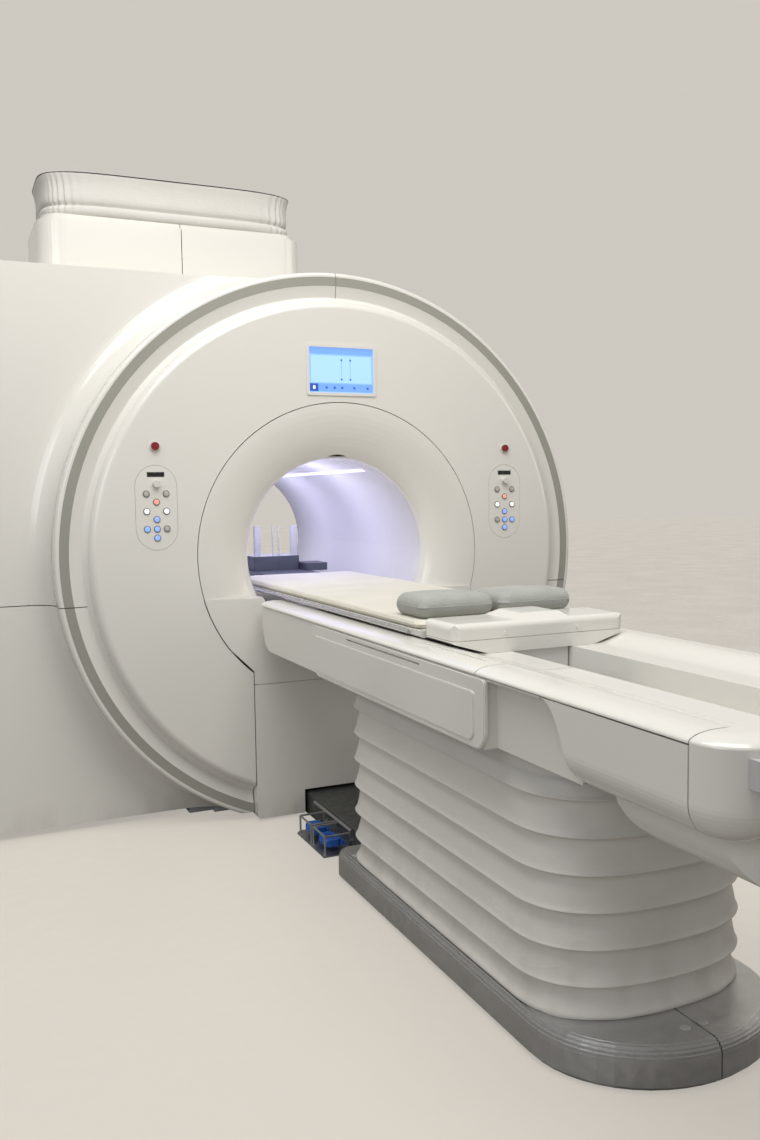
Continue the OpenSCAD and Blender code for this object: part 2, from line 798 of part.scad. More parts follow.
module ceiling_shroud() {
    z0 = turret_z + turret_ledge + fit;
    z1 = shroud_z - 8;
    n = 96;
    inset = turret_inset;
    rings = [shroud_ring(z0, inset + 2, 0), shroud_ring(z0 + 8, inset - 4, gather * 0.3),
             shroud_ring(z0 + 34, inset - 6, gather * 0.4), shroud_ring(z0 + 40, inset + 3, gather * 0.7),
             shroud_ring(z0 + 80, inset + 1, gather), shroud_ring(z1 - 30, inset - 3, gather * 0.5),
             shroud_ring(z1, inset - 6, 0)];
    points = [for (ring = rings) each ring];
    last = len(rings) - 1;
    faces = concat(
        [for (k = [0:last - 1], i = [0:n - 1]) [k * n + i, (k + 1) * n + i, (k + 1) * n + (i + 1) % n]],
        [for (k = [0:last - 1], i = [0:n - 1]) [k * n + i, (k + 1) * n + (i + 1) % n,
            k * n + (i + 1) % n]],
        [[for (i = [0:n - 1]) i]], [[for (i = [n - 1:-1:0]) last * n + i]]);
    color(vinyl_white) difference() {
        polyhedron(points = points, faces = faces, convexity = 4);
        along_z(z0 - 1, big) translate([(turret_right - turret_left) / 2, turret_mid])
            polygon(round_rect(turret_left + turret_right - 2 * inset - 50,
                turret_depth - 2 * inset - 50, 75));
    }
}

module cold_head() {
    color(steel_grey) translate([-turret_split, turret_mid, neck_z + fit]) {
        cylinder(h = 20, r = cold_r - 10, $fn = 48);
        cylinder(h = 150, r = 62, $fn = 48);
        translate([0, 0, 70]) cylinder(h = 60, r = 85, $fn = 48);
        translate([90, -40, 25]) cube([30, 80, 90]);
        translate([40, -30, 55]) cube([60, 60, 40]);
    }
}

module display_bezel() {
    color(shell_white) along_y(-front_d - 4, -front_d - fit) translate([0, screen_z]) difference() {
        polygon(round_rect(screen_w + 2 * bezel, screen_h + 2 * bezel, 10));
        polygon(round_rect(screen_w - 4, screen_h - 4, 4));
    }
}

module display_screen() {
    color([0.35, 0.58, 0.92]) {
        along_y(-front_d - fit / 2, -front_d + skin) translate([0, screen_z])
            polygon(round_rect(screen_w, screen_h, 6));
        box([-screen_w / 2 - 12, -front_d + skin + fit / 2, screen_z - screen_h / 2 - 12],
            [screen_w / 2 + 12, -front_d + skin + 30, screen_z + screen_h / 2 + 12]);
        box([-screen_w / 2 + 5, -front_d + skin - 1, screen_z - screen_h / 2 + 5],
            [screen_w / 2 - 5, -front_d + skin + 1, screen_z + screen_h / 2 - 5]);
    }
}

// Places of the keys from the panel's centre
key_step = 34;
key_rows = [48, 20, -12, -40, -73, -104];
key_places = [[-key_step, key_rows[0]], [key_step, key_rows[0]], [0, key_rows[1]],
              [-key_step, key_rows[2]], [key_step, key_rows[2]], [0, key_rows[3]],
              [-key_step, key_rows[4]], [0, key_rows[4]], [key_step, key_rows[4]], [0, key_rows[5]]];
knob_dz = 82;
readout_dz = 114;
shaft_r = 4;

module control_panel(side) {
    color(shell_white) difference() {
        union() {
            along_y(-front_d, -front_d + 9) translate([side * panel_x, panel_z]) stadium(panel_w,
                panel_h);
            along_y(-front_d + skin + fit, -front_d + 9) translate([side * panel_x, panel_z])
                stadium(panel_w + 24, panel_h + 24);
        }
        along_y(-front_d + skin, big) translate([side * panel_x, panel_z]) stadium(panel_w - 14,
            panel_h - 14);
        for (place = key_places)
            bar_y(side * panel_x + place[0], panel_z + place[1], key_r + 0.6, -big, 0);
        bar_y(side * panel_x, panel_z + knob_dz, shaft_r + 0.1, -big, 0);
        along_y(-big, -front_d + 1.5) translate([side * panel_x, panel_z + readout_dz])
            polygon(round_rect(62, 18, 3));
    }
}

module control_panel_left() { control_panel(-1); }
module control_panel_right() { control_panel(1); }

module keypad(side) {
    color(dark_grey) difference() {
        union() {
            along_y(-front_d + skin + fit, -front_d + skin + 3) translate([side * panel_x, panel_z])
                stadium(panel_w - 14 - 2 * fit, panel_h - 14 - 2 * fit);
            for (place = key_places)
                bar_y(side * panel_x + place[0], panel_z + place[1], key_r,
                      -front_d - key_proud, -front_d + skin + 1);
        }
        bar_y(side * panel_x, panel_z + knob_dz, shaft_r + 3, -big, 0);
    }
}

module keypad_left() { keypad(-1); }
module keypad_right() { keypad(1); }

module selector_knob(side) {
    color(shell_white) translate([side * panel_x, 0, panel_z + knob_dz]) {
        difference() {
            bar_y(0, 0, knob_r, -front_d - knob_len - fit, -front_d - fit);
            for (a = [0:40:320])
                rotate([0, a, 0]) translate([knob_r + 1.2, -front_d - knob_len - 1, 0])
                    rotate([-90, 0, 0]) cylinder(h = knob_len - 4, r = 2.4, $fn = 16);
        }
        bar_y(0, 0, shaft_r, -front_d - 1, -front_d + skin + 8);
        bar_y(0, 0, shaft_r + 2.5, -front_d + skin + fit, -front_d + skin + 2.4);
    }
}

module selector_knob_left() { selector_knob(-1); }
module selector_knob_right() { selector_knob(1); }

module stop_button(side) {
    color(stop_red) translate([side * panel_x, 0, stop_z]) {
        bar_y(0, 0, stop_r, -front_d - stop_travel - 8, -front_d - stop_travel - fit);
        bar_y(0, 0, stop_stem, -front_d - stop_travel - 1, -front_d + skin + 6);
        bar_y(0, 0, stop_stem + 2.5, -front_d + skin + fit, -front_d + skin + 2.4);
    }
}

module stop_button_left() { stop_button(-1); }
module stop_button_right() { stop_button(1); }

module bore_bridge() {
    color(shell_white) intersection() {
        about_bore([[0, liner_back], [bore_r - fit, liner_back], [bore_r - fit,
            front_d - mouth_depth - 40],
                    [0, front_d - mouth_depth - 40]]);
        difference() {
            box([-big, -big, 0], [big, big, bridge_z]);
            box([-150, -big, 0], [150, big, bridge_z - 12]);
        }
    }
}

// Outline of the base seen from above, inset by t
module base_outline(t) {
    straight = base_len - base_nose;
    polygon(concat(
        arc(-base_half + 45, base_y - 45, 45 - t, 180, 90, 4), arc(base_half - 45, base_y - 45, 45 - t,
            90, 0, 4),
        [for (i = [0:24]) let (a = 180 * i / 24)
            [(base_half - t) * cos(a), base_y - straight - (base_nose - t) * sin(a)]]));
}

// Base cover on one side of its middle seam
module base_cover(side) {
    lip = 10;
    color(base_silver) intersection() {
        difference() {
            union() {
                along_z(12, base_h - base_round) base_outline(0);
                for (i = [1:5]) let (a = 90 * i / 5)
                    along_z(base_h - base_round - 1, base_h - base_round + base_round * sin(a))
                        base_outline(base_round * (1 - cos(a - 9)));
                along_z(fit, 13) base_outline(12);
            }
            along_z(-1, base_h - base_round) base_outline(12 + skin);
            along_z(0, base_h - skin) base_outline(base_round + skin);
            along_z(base_h - 2 * skin, base_h + 1) bellows_outline(base_half - ridge_half + fold_d - lip);
            box([-duct_half - fit, base_y - 60, -1], [duct_half + fit, base_y + 60, duct_h + fit]);
        }
        box([side < 0 ? -big : seam / 2, -big, 0], [side < 0 ? -seam / 2 : big, 0, big]);
    }
}

module base_cover_left() { base_cover(-1); }
module base_cover_right() { base_cover(1); }

// Point on the bellows' plan at an angle, inset by t, squarer at the back
function bellows_point(a, t) =
    let (half = ridge_half - t, round = bellows_round - t, c = cos(a), s = sin(a), e = s < 0 ? 0.8 : 0.5)
    [half * sign(c) * pow(abs(c), e),
     bellows_mid + sign(s) * (bellows_len / 2 - bellows_round + round * pow(abs(s), e))];

// Plan of the bellows, inset by t
module bellows_outline(t) {
    polygon([for (i = [0:bellows_n - 1]) bellows_point(360 * i / bellows_n, t)]);
}
bellows_n = 72;

// Height and inset of the bellows' rings: each panel leans in as it rises to the next ridge's lip
fold_shape = [[0, 0], [0.07, 0.2], [0.3, 0.48], [0.6, 0.78], [0.88, 1], [0.96, 0.6]];
fold_rings = concat(
    [[base_h + fit, 0.5], [base_h + 18, 0.7], [fold_first_z - 10, 1], [fold_first_z - 3, 0.6]],
    [for (k = [0:fold_count - 1], p = fold_shape) [fold_first_z + (k + p[0]) * fold_pitch, p[1]]],
    [[belly_z - fit, 0.85]]);

module bellows() {
    count = len(fold_rings);
    points = [for (ring = fold_rings, i = [0:bellows_n - 1])
        let (p = bellows_point(360 * i / bellows_n, ring[1] * fold_d)) [p[0], p[1], ring[0]]];
    faces = concat(
        [for (k = [0:count - 2], i = [0:bellows_n - 1])
            [k * bellows_n + i, (k + 1) * bellows_n + i, (k + 1) * bellows_n + (i + 1) % bellows_n]],
        [for (k = [0:count - 2], i = [0:bellows_n - 1])
            [k * bellows_n + i, (k + 1) * bellows_n + (i + 1) % bellows_n,
                k * bellows_n + (i + 1) % bellows_n]],
        [[for (i = [0:bellows_n - 1]) i]],
            [[for (i = [bellows_n - 1:-1:0]) (count - 1) * bellows_n + i]]);
    color(vinyl_white) difference() {
        polyhedron(points = points, faces = faces, convexity = 10);
        along_z(0, big) bellows_outline(fold_d + 6);
    }
}

bellows_mid = bellows_y - bellows_len / 2;
column_ys = [bellows_mid + column_pitch / 2, bellows_mid - column_pitch / 2];
inner_w = column_w - 20;

module lift_base() {
    color(steel_grey) {
        difference() {
            box([-base_half + 40, column_ys[1] - column_w, 0], [base_half - 40,
                column_ys[0] + column_w, 14]);
            for (side = [-1, 1], y = column_ys)
                translate([side * 200, y, -1]) cylinder(h = 20, r = 9, $fn = small_fn);
        }
        for (y = column_ys) difference() {
            union() {
                box([-column_w / 2, y - column_w / 2, 0], [column_w / 2, y + column_w / 2, column_h]);
                box([-column_w / 2 - 15, y - column_w / 2 - 15, column_h - 40],
                    [column_w / 2 + 15, y + column_w / 2 + 15, column_h]);
            }
            box([-inner_w / 2 - fit, y - inner_w / 2 - fit, 14], [inner_w / 2 + fit,
                y + inner_w / 2 + fit, big]);
        }
    }
}

module floor_duct() {
    y0 = base_y - 50;
    y1 = -vessel_half + 60 - fit;
    bevel = 7;
    color([0.26, 0.27, 0.26]) difference() {
        along_y(y0, y1) polygon([[-duct_half, 0], [duct_half, 0], [duct_half, duct_h - bevel],
                                 [duct_half - bevel, duct_h], [-duct_half + bevel, duct_h],
                                     [-duct_half, duct_h - bevel]]);
        along_y(y0 - 1, y1 + 1) translate([-duct_half + 4, -1]) square([2 * duct_half - 8,
            duct_h - 4 + 1]);
    }
}

plate_y = -front_d - plate_at;
pedal_ys = [plate_y - plate_len / 2 + pedal_pitch / 2, plate_y - plate_len / 2 - pedal_pitch / 2];
pivot_x = -duct_half - 24;
pivot_z = 30;
pivot_r = 5;

// Round wire along X, Y or Z given by its start, length and turn
module wire(start, turn, length, r = 3.5) {
    translate(start) rotate(turn) cylinder(h = length, r = r, $fn = 16);
}

module pedal_bracket() {
    guard_z = 66;
    edge_x = -duct_half - plate_w;
    color(steel_grey) {
        difference() {
            box([edge_x, plate_y - plate_len, 2], [-duct_half - fit, plate_y, 7]);
            translate([edge_x, plate_y, 0]) rotate([0, 0, 45]) cube([24, 24, 30], center = true);
        }
        box([-duct_half - 6, plate_y - plate_len, 2], [-duct_half - fit, plate_y, 46]);
        for (y = pedal_ys) {
            for (end = [-1, 1]) difference() {
                box([pivot_x - 8, y + end * (pedal_len / 2 + 4) - 3, 6], [pivot_x + 8,
                    y + end * (pedal_len / 2 + 4) + 3, 40]);
                bar_y(pivot_x, pivot_z, pivot_r + 0.1, -big, 0);
            }
            for (end = [-1, 1])
                wire([edge_x + 12, y + end * (pedal_len / 2 + 8), 6], [0, 0, 0], guard_z - 6);
            wire([edge_x + 12, y - pedal_len / 2 - 8, guard_z], [-90, 0, 0], pedal_len + 16);
            for (end = [-1, 1])
                wire([edge_x + 12, y + end * (pedal_len / 2 + 8), guard_z], [0, 90, 0], plate_w - 12 - 3);
        }
        wire([-duct_half - 9, plate_y - plate_len + 10, guard_z + 8], [-90, 0, 0], plate_len + 70, 6);
        for (y = [plate_y - plate_len + 20, plate_y - 20])
            box([-duct_half - 13, y - 5, 40], [-duct_half - fit, y + 5, guard_z + 8]);
    }
}

module pedal(y) {
    top = pivot_z + pedal_t / 2 + 4;
    w = pedal_w - 14;
    color(pedal_blue) {
        difference() {
            intersection() {
                along_z(pivot_z - 6, top) translate([pivot_x - 14 - w / 2, y])
                    polygon(round_rect(w, pedal_len - 8, 16));
                along_y(y - pedal_len / 2, y + pedal_len / 2)
                    polygon(concat([[pivot_x - 14 - w, pivot_z - 6]],
                                   arc(pivot_x - 14 - w + 14, top - 14, 14, 180, 90, 5),
                                   [[pivot_x - 12, top]], [[pivot_x - 10, pivot_z - 6]]));
            }
            for (i = [-2:2])
                box([pivot_x - w - 4, y + i * 14 - 2.5, top - 2], [pivot_x - 26, y + i * 14 + 2.5,
                    top + 1]);
        }
        box([pivot_x - 16, y - pedal_len / 2 + 6, pivot_z - 6], [pivot_x, y + pedal_len / 2 - 6,
            pivot_z + 6]);
        bar_y(pivot_x, pivot_z, 6, y - pedal_len / 2 + 6, y + pedal_len / 2 - 6);
        bar_y(pivot_x, pivot_z, pivot_r, y - pedal_len / 2 - 7, y + pedal_len / 2 + 7);
    }
}

module pedal_in() { pedal(pedal_ys[0]); }
module pedal_out() { pedal(pedal_ys[1]); }

// Outline of rail, slope, deck and slot across X from a height up, inset by t
function half_deck(t, low) = concat(
    [[table_half - t, low]], rail_edge(table_half, t),
    [for (i = [0:10]) let (u = i / 10)
        [table_half - rail_w - slope_w * u, crown_z - t - (crown_z - deck_z) * (1 - cos(180 * u)) / 2]],
    [[slot_half + t, deck_z - t], [slot_half + t, slot_z - skin]]);

// Flat rounding of the rails' outer edge that ends at a distance x, inset by t
function rail_edge(x, t) =
    [for (i = [0:arc_steps]) let (a = 90 * i / arc_steps)
        [x - crown_w + (crown_w - t) * cos(a), crown_z - crown_r + (crown_r - t) * sin(a)]];

function reversed(list) = [for (i = [len(list) - 1:-1:0]) list[i]];

function left_of(list) = [for (p = list) [-p[0], p[1]]];

// Side rail on one side with half of the deck and the slot's wall, from y0 to the nose
module rail_cover(side, y0) {
    groove_x = table_half - crown_w - 3;
    inner_x = side_x - skin - fit;
    color(shell_white) on_side(side) difference() {
        union() {
            along_y(y0, nose_y - skin + 1)
                polygon(concat(half_deck(0, rail_low), reversed(half_deck(skin, rail_low))));
            along_y(nose_y - skin, nose_y) polygon(concat(half_deck(0, rail_low),
                [[slot_half + skin, slot_z - skin], [slot_half + skin, deck_z - skin],
                 [inner_x, deck_z - skin], [inner_x, rail_low]]));
        }
        if (side < 0) box([groove_x - 3, nose_y - groove_at - groove_len, crown_z - 3],
                          [groove_x + 3, nose_y - groove_at, big]);
    }
}

module rail_cover_left() { rail_cover(-1, cross_y + seam / 2); }
module rail_cover_right() { rail_cover(1, cap_y + seam / 2); }

module deck_cover() {
    color(shell_white) {
        along_y(cap_y + seam / 2, cross_y - seam / 2)
            polygon(concat(left_of(half_deck(0, rail_low)), reversed(left_of(half_deck(skin, rail_low)))));
        box([-slot_half - 2, cap_y + seam / 2, slot_z - skin], [slot_half - fit, cross_y - seam / 2, slot_z]);
    }
}

// Side elevation of the nose, inset by t
function nose_points(t) = concat(
    [[step_y, belly_z + t], [nose_y - nose_round, belly_z + t]],
    arc(nose_y - nose_round, belly_z + nose_round, nose_round - t, 270, 360),
    [[nose_y - t, side_top], [step_y, side_top]]);

module nose_cover() {
    inner = side_x - skin - fit;
    color(shell_white) difference() {
        along_x(-inner, inner) difference() {
            polygon(nose_points(0));
            polygon(nose_points(skin));
            translate([-big, -big]) square([big + bellows_y + 20, 2 * big]);
            translate([-big, deck_z - skin - fit]) square(2 * big);
        }
        for (side = [-1, 1]) on_side(side)
            box([slot_half - fit, nose_y - 2 * skin, slot_z - skin - fit], [slot_half + skin + fit, 0,
                big]);
    }
}

module table_side(side) {
    x = side_x;
    front = step_y - step_slant;
    low = belly_z + belly_round + fit
        - sqrt(pow(belly_round - skin, 2) - pow(belly_round - recess_d - table_half + side_x, 2));
    color(shell_white) on_side(side) {
        along_x(x - skin, x) difference() {
            polygon(nose_points(0));
            translate([-big, 0]) square([big + recess_y, big]);
        }
        box([x - recess_d - skin, recess_y, belly_z], [x, recess_y + skin, side_top]);
        box([x - recess_d - skin, step_y + 2, side_top - skin], [x, recess_y + skin, side_top]);
        along_x(x - recess_d - skin, x - recess_d)
            polygon([[recess_y + skin, belly_z], [recess_y + skin, side_top], [front - 20, side_top],
                     [front - 20, low], [front + skin, low], [front + skin, belly_z]]);
    }
}

module table_side_left() { table_side(-1); }
module table_side_right() { table_side(1); }

module side_panel(side) {
    y1 = nose_y - panel_at;
    y0 = y1 - side_panel_len;
    z1 = side_panel_top;
    z0 = side_panel_top - side_panel_h;
    x = side_x + fit;
    color(shell_white) on_side(side) difference() {
        union() {
            along_x(x, x + side_panel_t - 5) panel_outline(y0, y1, z0, z1, side_panel_r);
            along_x(x, x + side_panel_t - 3) panel_outline(y0 + 3, y1 - 3, z0 + 3, z1 - 1,
                side_panel_r - 3);
            along_x(x, x + side_panel_t - 1)
                panel_outline(y0 + 42, y1 - 22, z0 + 14, z1 - panel_border, side_panel_r - 14);
            along_x(x, x + side_panel_t)
                panel_outline(y0 + 44, y1 - 24, z0 + 16, z1 - panel_border - 2, side_panel_r - 16);
        }
        box([x - 1, y1 - slot_at - slot_len, z1 - 14], [big, y1 - slot_at, z1 - 9.5]);
    }
}

// Outline of a side panel or of its field in Y and Z
module panel_outline(y0, y1, z0, z1, r) {
    polygon(concat(arc(y0 + r, z0 + r, r, 180, 270), arc(y1 - r, z0 + r, r, 270, 360),
                   arc(y1 - 8, z1 - 8, 8, 0, 90, 4), arc(y0 + 8, z1 - 8, 8, 90, 180, 4)));
}

module side_panel_left() { side_panel(-1); }
module side_panel_right() { side_panel(1); }

// Section of the foot cover across X, inset by t
function foot_section(t) = concat(
    [[-table_half + t, side_top]],
    arc(-table_half + belly_round, belly_z + belly_round, belly_round - t, 180, 270),
    arc(table_half - belly_round, belly_z + belly_round, belly_round - t, 270, 360),
    [[table_half - t, side_top]]);

// Solid of the keel, inset by t
module keel_solid(t) {
    y1 = step_y - step_slant - 4 - t;
    y0 = end_y + 24 + t;
    x = keel_half - t;
    z = keel_z + t;
    top = belly_z + 1 - t;
    intersection() {
        along_y(-big, 0) polygon(concat([[-x, top]], arc(-x + 70, z + 70, 70, 180, 270),
                                        arc(x - 70, z + 70, 70, 270, 360), [[x, top]]));
        along_x(-big, big) polygon(concat(
            [[y1, top], [y1 - 14, z + 62], [y1 - 42, z + 34], [y1 - 80, z + 14], [y1 - 125, z + 4],
                [y1 - 170, z]],
            arc(y0 + 80, z + 80, 80, 270, 180), [[y0, top]]));
        along_z(0, big) polygon(concat(arc(-x + 100, y0 + 100, 100, 180, 270), arc(x - 100, y0 + 100,
            100, 270, 360),
                                       [[x, y1 + 10], [-x, y1 + 10]]));
    }
}

module foot_cover() {
    y1 = step_y - step_slant - 30;
    color(shell_white) {
        difference() {
            along_y(cap_y + seam / 2, step_y) polygon(foot_section(0));
            along_y(-big, big) polygon(foot_section(skin));
            along_x(-big, big) polygon(concat([[step_y + 1, 0], [step_y - step_slant, 0]],
                [for (i = [12:-1:0]) let (w = i / 12)
                    [step_y - step_slant * w, side_top - (side_top - belly_z) * pow(w, 2.4)]],
                [[step_y, big], [step_y + 1, big]]));
            box([-keel_half + 30, cap_y + 25, 0], [keel_half - 30, y1, belly_z + skin + 1]);
        }
        difference() {
            keel_solid(0);
            keel_solid(skin);
            box([-keel_half + 30, cap_y + 25, belly_z - skin - 1], [keel_half - 30, y1, big]);
            box([-big, -big, belly_z - fit], [big, cap_y + seam / 2, big]);
        }
    }
}

// Profile of the end cap's edge from its corner's axis outwards, inset by t
function cap_profile(t) = concat(
    [[0, belly_z + t]], arc(cap_round - belly_round, belly_z + belly_round, belly_round - t, 270, 360),
    rail_edge(cap_round, t), [[0, crown_z - t]]);

// Solid of the end cap, inset by t
module cap_solid(t) {
    x = table_half - cap_round;
    y = end_y + cap_round;
    edge = cap_profile(t);
    for (side = [-1, 1])
        translate([side * x, y, 0])
            rotate([0, 0, side > 0 ? 270 : 180])
                rotate_extrude(angle = 90, $fn = 96)
                    polygon(edge);
    along_x(-x, x) polygon([for (p = edge) [y - p[0], p[1]]]);
    along_y(y, cap_y + 40)
        polygon(concat([for (p = edge) [x + p[0], p[1]]], reversed([for (p = edge) [-x - p[0], p[1]]])));
}

module end_cap() {
    y1 = cap_y - seam / 2;
    color(shell_white) {
        difference() {
            cap_solid(0);
            cap_solid(skin);
            box([-big, y1, 0], [big, big, big]);
        }
        intersection() {
            cap_solid(1);
            union() {
                box([-big, y1 - skin, deck_z - skin], [big, y1, big]);
                box([-slot_half - skin, y1 - skin, slot_z - skin], [slot_half + skin, y1, deck_z]);
            }
        }
    }
}

module end_handle() {
    depth = handle_gap + handle_t;
    color([0.62, 0.62, 0.60]) difference() {
        along_z(handle_z - handle_h / 2, handle_z + handle_h / 2) translate([0, end_y]) difference() {
            polygon(concat(arc(-handle_half + 28, -depth + 28, 28, 180, 270),
                           arc(handle_half - 28, -depth + 28, 28, 270, 360), [[handle_half, 60],
                               [-handle_half, 60]]));
            polygon(concat(arc(-handle_half + handle_t + 14, -handle_gap + 14, 14, 180, 270),
                           arc(handle_half - handle_t - 14, -handle_gap + 14, 14, 270, 360),
                           [[handle_half - handle_t, 61], [-handle_half + handle_t, 61]]));
        }
        cap_solid(-fit);
    }
}

module table_frame() {
    y0 = end_y + skin + fit;
    y1 = nose_y - 60;
    top = deck_z - skin - fit;
    inner_x = side_x - skin - fit;
    plate_x = inner_x - recess_d;
    flat_x = table_half - max(cap_round, belly_round);
    beam_z = under_slot - 20;
    floor_z = belly_z + skin + fit;
    color(steel_grey) {
        box([-inner_x, recess_y + skin + fit, belly_z], [inner_x, bellows_y + 20 - fit, belly_z + 6]);
        box([-plate_x, step_y - step_slant + 2 * skin, belly_z], [plate_x, recess_y + skin + 1, belly_z + 6]);
        box([-slot_half - 45, y0 + 60, under_slot - 6], [slot_half + 45, y1, under_slot]);
        for (side = [-1, 1]) on_side(side) {
            box([slot_half + 30, y0 + 60, under_slot - 6], [slot_half + 80, y1, top]);
            box([flat_x - 40, y0, handle_z - 15], [flat_x, y0 + 80, handle_z + 15]);
            box([flat_x - 40, y0 + 60, beam_z], [flat_x, y0 + 80, handle_z]);
            box([keel_half + 5, cap_y + 120, floor_z], [table_half - belly_round, cap_y + 160,
                under_slot]);
        }
        for (y = [y1 - 40, nose_y - panel_at - 60, cross_y + 200])
            box([-inner_x, y - 40, beam_z], [inner_x, y, under_slot]);
        box([-flat_x, y0 + 60, beam_z], [flat_x, y0 + 80, under_slot]);
        box([-table_half + belly_round, cap_y + 120, under_slot - 10],
            [table_half - belly_round, cap_y + 160, under_slot]);
        box([-240, column_ys[1] - 160, floor_z], [240, column_ys[0] + 160, beam_z + 1]);
        for (y = column_ys) difference() {
            box([-inner_w / 2, y - inner_w / 2, column_h - 180], [inner_w / 2, y + inner_w / 2,
                belly_z + 15]);
            box([-inner_w / 2 + 8, y - inner_w / 2 + 8, 0], [inner_w / 2 - 8, y + inner_w / 2 - 8,
                belly_z - 5]);
        }
    }
}

module couch_top() {
    y1 = couch_head;
    bevel = 6;
    color([0.80, 0.80, 0.78]) {
        along_y(couch_foot_y, y1) polygon([
            [-couch_half + bevel, couch_z], [couch_half - bevel, couch_z], [couch_half, couch_z + bevel],
            [couch_half, couch_top_z], [pad_half - 6, couch_top_z], [pad_half - 6, couch_top_z - 4],
            [pad_half - 14, couch_top_z - 4], [pad_half - 14, couch_top_z], [-pad_half + 14, couch_top_z],
            [-pad_half + 14, couch_top_z - 4], [-pad_half + 6, couch_top_z - 4], [-pad_half + 6,
                couch_top_z],
            [-couch_half, couch_top_z], [-couch_half, couch_z + bevel]]);
        for (side = [-1, 1])
            box([side * runner_x - 12, couch_foot_y, deck_z + fit],
                [side * runner_x + 12, -front_d - 100, couch_z + 1]);
    }
}

module couch_pad() {
    y1 = -pad_head;
    color(pad_cream) intersection() {
        along_y(y1 - pad_len, y1) translate([0,
            couch_top_z + pad_t / 2]) polygon(round_rect(2 * pad_half, pad_t, 9));
        along_z(0, big) translate([0, y1 - pad_len / 2]) polygon(round_rect(2 * pad_half, pad_len, 24));
    }
}

module strap_rails() {
    y0 = couch_foot_y + 60;
    y1 = -110;
    z = couch_top_z - rod_r - 2;
    color(steel_grey) for (side = [-1, 1]) {
        bar_y(side * (couch_half + fit + rod_r), z, rod_r, y0, y1, 24);
        for (i = [0:6])
            box([side < 0 ? -couch_half - rod_r : couch_half, y0 + 20 + i * (y1 - y0 - 60) / 6, z - 4],
                [side < 0 ? -couch_half : couch_half + rod_r, y0 + 44 + i * (y1 - y0 - 60) / 6, z + 4]);
    }
}

box_seam_z = couch_z + box_base_h;

// Plan of the connector box, inset by t
module box_plan(t) {
    translate([0, box_y + box_len / 2]) polygon(round_rect(2 * (box_half - t), box_len - 2 * t, 25 - t));
}

module connector_box_base() {
    stalk_half = slot_half - 4;
    half = [[0, deck_z + fit], [box_foot, deck_z + fit], [box_foot + 15, deck_z + 5], [box_half - 8,
        box_seam_z - 8],
            [box_half, box_seam_z - 3], [box_half, box_seam_z], [0, box_seam_z]];
    color(shell_white) {
        intersection() {
            along_y(-big, 0) union() {
                polygon(half);
                polygon(left_of(half));
            }
            along_z(0, big) box_plan(0);
        }
        box([-stalk_half, box_y + 12, slot_z + 8], [stalk_half, box_y + box_len - 24, deck_z + 5]);
    }
}

module connector_box_cover() {
    z0 = box_seam_z + 1.5;
    z1 = box_seam_z + box_cover_h;
    hump = [[-92, 0], [-78, 1], [-44, box_hump - 1], [-30, box_hump], [58, box_hump], [68, box_hump - 1],
            [88, 1], [98, 0]];
    front = concat([[-box_half, z0], [box_half, z0]], arc(box_half - 18, z1 - 18, 18, 0, 90, 8),
                   [for (i = [len(hump) - 1:-1:0]) [hump[i][0], z1 + hump[i][1]]],
                   arc(-box_half + 18, z1 - 18, 18, 90, 180, 8));
    side = concat([[box_y, z0]], arc(box_y + 16, z1 - 16, 16, 180, 110, 6), [[box_y + 30, z1 + box_hump]],
                  [[box_y + box_len - 26, z1 + box_hump]], arc(box_y + box_len - 16, z1 - 16, 16, 70,
                      0, 6),
                  [[box_y + box_len, z0]]);
    color(shell_white) {
        difference() {
            intersection() {
                along_y(-big, 0) polygon(front);
                along_x(-big, big) polygon(side);
                along_z(0, big) box_plan(0);
            }
            for (x = [-162, 217]) along_z(z1 - 3, big) translate([x,
                box_y + box_len - 40]) polygon(round_rect(30, 14, 6));
        }
        along_z(box_seam_z, z0 + 1) box_plan(3);
        for (x = [-108, 108]) bar_y(x, box_seam_z + 14, 5, box_y - 2.5, box_y + 1, 24);
    }
}

module bolster() {
    low = couch_top_z + pad_t + fit;
    y1 = bolster_len - pad_head - pad_len + 8;
    top = low + bolster_h;
    color(foam_grey) intersection() {
        along_x(-pad_half + 14, pad_half - 14) polygon(concat(
            [[y1 - bolster_len, low]], [[y1, low]],
            arc(y1 - 36, top - 30, 30, 20, 90, 5), arc(y1 - bolster_len + 40, top - 30, 30, 90, 160, 5)));
        along_y(-big, big) polygon(concat(
            [[-pad_half + 14, low], [pad_half - 14, low], [pad_half - 14, top - 14], [pad_half - 34,
                top]],
            [for (i = [0:10]) let (u = i / 10) [(1 - 2 * u) * 150, top - 20 * sin(180 * u)]],
            [[-pad_half + 34, top], [-pad_half + 14, top - 14]]));
    }
}

module head_coil_base() {
    y0 = -pad_head + 6;
    y1 = couch_head - 20;
    coil_y = 14;
    coil_len = 190;
    board_z = couch_top_z + 20;
    color(dark_grey) {
        along_z(couch_top_z, board_z) translate([0,
            (y0 + y1) / 2]) polygon(round_rect(2 * coil_half + 40, y1 - y0, 20));
        along_z(board_z - 1, board_z + coil_h) translate([0, coil_y + coil_len / 2])
            polygon(round_rect(2 * coil_half, coil_len, 10));
        along_z(board_z - 1, board_z + coil_h * 0.5) translate([coil_half + 52, coil_y - 20])
            polygon(round_rect(100, 150, 12));
    }
    color([0.75, 0.76, 0.78]) for (side = [-1, 1]) {
        along_z(board_z + coil_h - 1, board_z + coil_h + post_h) translate([side * (coil_half - 22),
            coil_y + 16])
            polygon(round_rect(32, 20, 6));
        translate([side * 14, coil_y + 16, board_z + coil_h - 1]) cylinder(h = post_h, r = 3, $fn = 16);
    }
}

